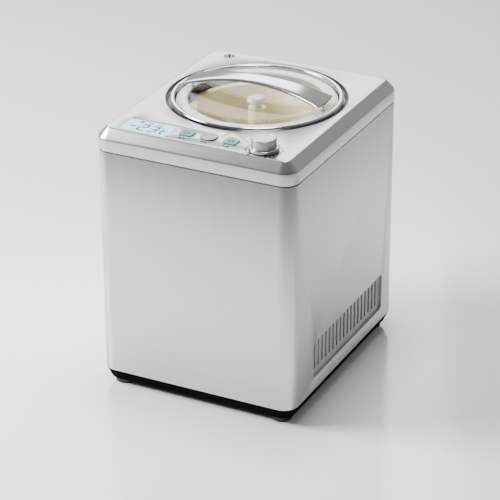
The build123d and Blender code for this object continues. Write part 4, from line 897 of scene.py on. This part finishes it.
tray_black = moulded_finish("tray_black", (0.005, 0.005, 0.006), 0.6, 800.0, 0.00003, gloss=0.0)
tray_skin = [tray_ring(0.0, 1.6 * mm), tray_ring(0.03, 0.5 * mm), tray_ring(0.10), tray_ring(0.84),
             tray_ring(0.86, 0.7 * mm), tray_ring(0.92, 0.7 * mm), tray_ring(0.94), tray_ring(0.985),
             inset(0.3 * mm, tray_top), inset(1.5 * mm, tray_top), inset(1.5 * mm, tray_top + 6 * mm),
             inset(tray_wall, tray_top + 6 * mm), inset(tray_wall, tray_top),
             inset(tray_wall + 5.6 * mm, tray_bottom + 3 * mm)]
floor_slots = []
for k in range(10):
    for y in (-45 * mm, 45 * mm):
        slot = rounded(slot_width, 46 * mm, slot_radius, ((-67.5 + 15 * k) * mm, y), 5)
        floor_slots.append(prism("slot", slot, tray_bottom - mm, tray_bottom + 5 * mm))
tray_mesh = carved(skin("base_moulding", tray_skin), floor_slots)
show("base_moulding", tray_mesh, tray_black, "housing", ["base_tray"])

foot_low, foot_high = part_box("rubber_feet")
foot_radius = 14 * mm
foot_rubber = moulded_finish("foot_rubber", (0.02, 0.02, 0.02), 0.62, 500.0, 0.00008)
foot_neck = 4 * mm
foot_barb = foot_high.z - 4 * mm
foot_profile = fillets([(0, 0.4 * mm, 0), (5 * mm, 0.4 * mm, 0.3 * mm), (6 * mm, 0, 0.4 * mm),
                        (foot_radius - 1 * mm, 0, 0.9 * mm), (foot_radius, tray_bottom, 0.3 * mm),
                        (foot_neck, tray_bottom, 0), (foot_neck, foot_barb, 0),
                        (6.5 * mm, foot_barb, 0.3 * mm), (foot_neck, foot_high.z, 0.3 * mm),
                        (0, foot_high.z, 0)], 4)
feet = []
for x in (foot_low.x + foot_radius, foot_high.x - foot_radius):
    for y in (foot_low.y + foot_radius, foot_high.y - foot_radius):
        feet.append(lathe("foot", foot_profile, (x, y), closed=False, steps=48))
show("feet", joined("feet", feet), foot_rubber, "housing", ["rubber_feet"])

# -------------------------------- side grilles
# Silver-painted mouldings clipped behind the side openings, each with a set-back floor and eighteen slots.
grille_silver = moulded_finish("grille_silver", (0.44, 0.44, 0.445), 0.38)
pocket = 2.5 * mm
slot_y, slot_z = 10 * mm, 67.5 * mm
slot_count, slot_pitch = 18, 11.3 * mm
for side, name in ((1, "right_side_grille"), (-1, "left_side_grille")):
    low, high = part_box(name)
    face = max(abs(low.x), abs(high.x))
    outer = rounded(high.y - low.y, high.z - low.z, grille_radius, grille_middle)
    body = crosswise("grille", outer, side * (face - 5 * mm), side * face, "x")
    cuts = [crosswise("pocket", side_hole, side * (face - pocket), side * (face + mm), "x")]
    for k in range(slot_count):
        middle = (slot_y + (k - (slot_count - 1) / 2) * slot_pitch, slot_z)
        slot = rounded(slot_width, 38 * mm, slot_radius, middle, 5)
        cuts.append(crosswise("slot", slot, side * (face - 6 * mm), side * (face + mm), "x"))
    grille = eased(carved(body, cuts), 0.35 * mm, 2, 50)
    show(name + "_moulding", grille, grille_silver, "housing", [name])

# -------------------------------- rear cover
# A black moulded panel with two banks of vent slots, held by four countersunk screws.
# The cord gland is pressed through its lower corner.


def finished(finish, *names):
    """Gives CAD nodes their finish."""
    for name in names:
        nodes[name].data.materials.clear()
        nodes[name].data.materials.append(finish)


def plated_finish(name, colour, rough=0.34, metal=1.0, speck=260.0):
    """Plated, cast or painted metal: fine crystal speckle and slow changes of gloss."""
    make = Finish(name)
    speckle = make.grain(speck, 4.0)
    drift = make.grain(24.0, 2.0)
    dull, bright = tuple(0.82 * c for c in colour), tuple(min(1.0, 1.12 * c) for c in colour)
    colour = make.blend(0.6 * speckle + 0.4 * drift, dull, bright)
    return make.done(make.surface(Base_Color=colour, Metallic=metal, Roughness=rough - 0.06 + 0.16 * speckle,
                                  Normal=make.bump(speckle, 0.08, 0.00005)))


zinc_plate = plated_finish("zinc_plate", (0.60, 0.60, 0.57))
panel_black = moulded_finish("panel_black", (0.020, 0.020, 0.022), 0.46, 700.0, 0.00006)
finished(panel_black, "rear_cover")
finished(foot_rubber, "cord_gland")
finished(zinc_plate, "rear_cover_screws", "base_screws", "handle_screws")

# -------------------------------- paddle
# The lift-out paddle: one cream food-grade moulding with two webbed blades on a sleeve, its cream darkened
# with painted shade.
# It drops over the bowl's central tube and its hexagonal socket sits on the drive shaft.
# The paddle's colour is cream darkened to tan: the tan is painted shade for the dark strip under the handle.
paddle_cream_and_painted_shade = moulded_finish("paddle_cream_and_painted_shade", (0.80, 0.70, 0.48), 0.26, 600.0, 0.00001, 0.3)
finished(paddle_cream_and_painted_shade, "paddle")

# -------------------------------- cold well
# Drawn aluminium well with copper evaporator turns soldered round it, in a sleeve of rigid foam.
# The sintered bronze bush in its floor carries the drive shaft.
well_metal = plated_finish("well_metal", (0.66, 0.66, 0.67), 0.30, speck=90.0)
copper = plated_finish("copper", (0.72, 0.36, 0.20), 0.26, speck=120.0)
bronze = plated_finish("bronze", (0.56, 0.42, 0.20), 0.44, speck=900.0)
finished(well_metal, "cooling_well")
finished(copper, "evaporator_coil", "suction_pipe", "discharge_pipe", "liquid_pipe", "capillary_pipe",
         "filter_drier")
finished(bronze, "shaft_bearing", "motor_pinion")


def foam_finish():
    """Rigid polyurethane foam: pale yellow with open cells cut through."""
    make = Finish("rigid_foam")
    cells = make.node("ShaderNodeTexVoronoi", {}, {"Vector": make.place(), "Scale": 900.0})
    drift = make.grain(30.0, 3.0)
    colour = make.blend(0.6 * cells + 0.4 * drift, (0.62, 0.54, 0.30), (0.84, 0.76, 0.50))
    return make.done(make.surface(Base_Color=colour, Roughness=0.85 - 0.1 * drift,
                                  Normal=make.bump(cells, 0.4, 0.0002)))


finished(foam_finish(), "insulation_shell")

# -------------------------------- chassis and drive
# A galvanised plate on four turned pillars carries the well, the gear case and the motor.
# A moulded spur gear on the shaft takes its turn from a small sintered pinion.
galvanised = plated_finish("galvanised", (0.52, 0.54, 0.56), 0.42, speck=45.0)
case_nylon = moulded_finish("case_nylon", (0.14, 0.145, 0.15), 0.55, 900.0, 0.00008)
gear_nylon = moulded_finish("gear_nylon", (0.78, 0.76, 0.68), 0.38)
motor_plate = plated_finish("motor_plate", (0.30, 0.31, 0.33), 0.36)
shaft_steel = brushed_finish("shaft_steel", (0.58, 0.58, 0.58), "x", 0.24)
finished(galvanised, "chassis_plate")
finished(zinc_plate, "chassis_pillars", "chassis_screws", "gear_case_screws", "motor_screws",
         "retaining_ring")
finished(case_nylon, "gear_case")
finished(gear_nylon, "drive_gear")
finished(motor_plate, "gear_motor")
finished(shaft_steel, "drive_shaft", "motor_shaft", "knob_shaft")

# -------------------------------- refrigeration
# A black hermetic compressor stands on rubber grommets; a finned condenser is cooled by an axial fan.
# Copper pipes join them to the well.
compressor_black = plated_finish("compressor_black", (0.030, 0.030, 0.032), 0.34, 0.0, 400.0)
fin_metal = plated_finish("fin_metal", (0.66, 0.67, 0.68), 0.32, speck=150.0)
fan_black = moulded_finish("fan_black", (0.025, 0.025, 0.027), 0.40)
finished(compressor_black, "compressor")
finished(foot_rubber, "compressor_grommets")
finished(zinc_plate, "compressor_bolts")
finished(fin_metal, "condenser")
finished(fan_black, "fan_housing", "fan_rotor")

# -------------------------------- electronics
# Two green laminate boards on short posts: one under the deck carries the display, the switches and the
# encoder, and one inside the casing feeds the motors.


def board_finish():
    """Solder-masked laminate with fine copper tracks showing through the green."""
    make = Finish("board_green")
    mask = {"Vector": make.place(), "Scale": 90.0, "Color1": (0.02, 0.16, 0.06),
            "Color2": (0.03, 0.20, 0.08), "Mortar": (0.08, 0.30, 0.12)}
    tracks = make.node("ShaderNodeTexBrick", {}, mask)
    drift = make.grain(60.0)
    return make.done(make.surface(Base_Color=tracks, Roughness=0.30 + 0.12 * drift, Coat_Weight=0.3,
                                  Normal=make.bump(drift, 0.1, 0.00005)))


finished(board_finish(), "control_board", "power_board")
finished(panel_black, "display_module", "button_switches")
finished(zinc_plate, "encoder_body")
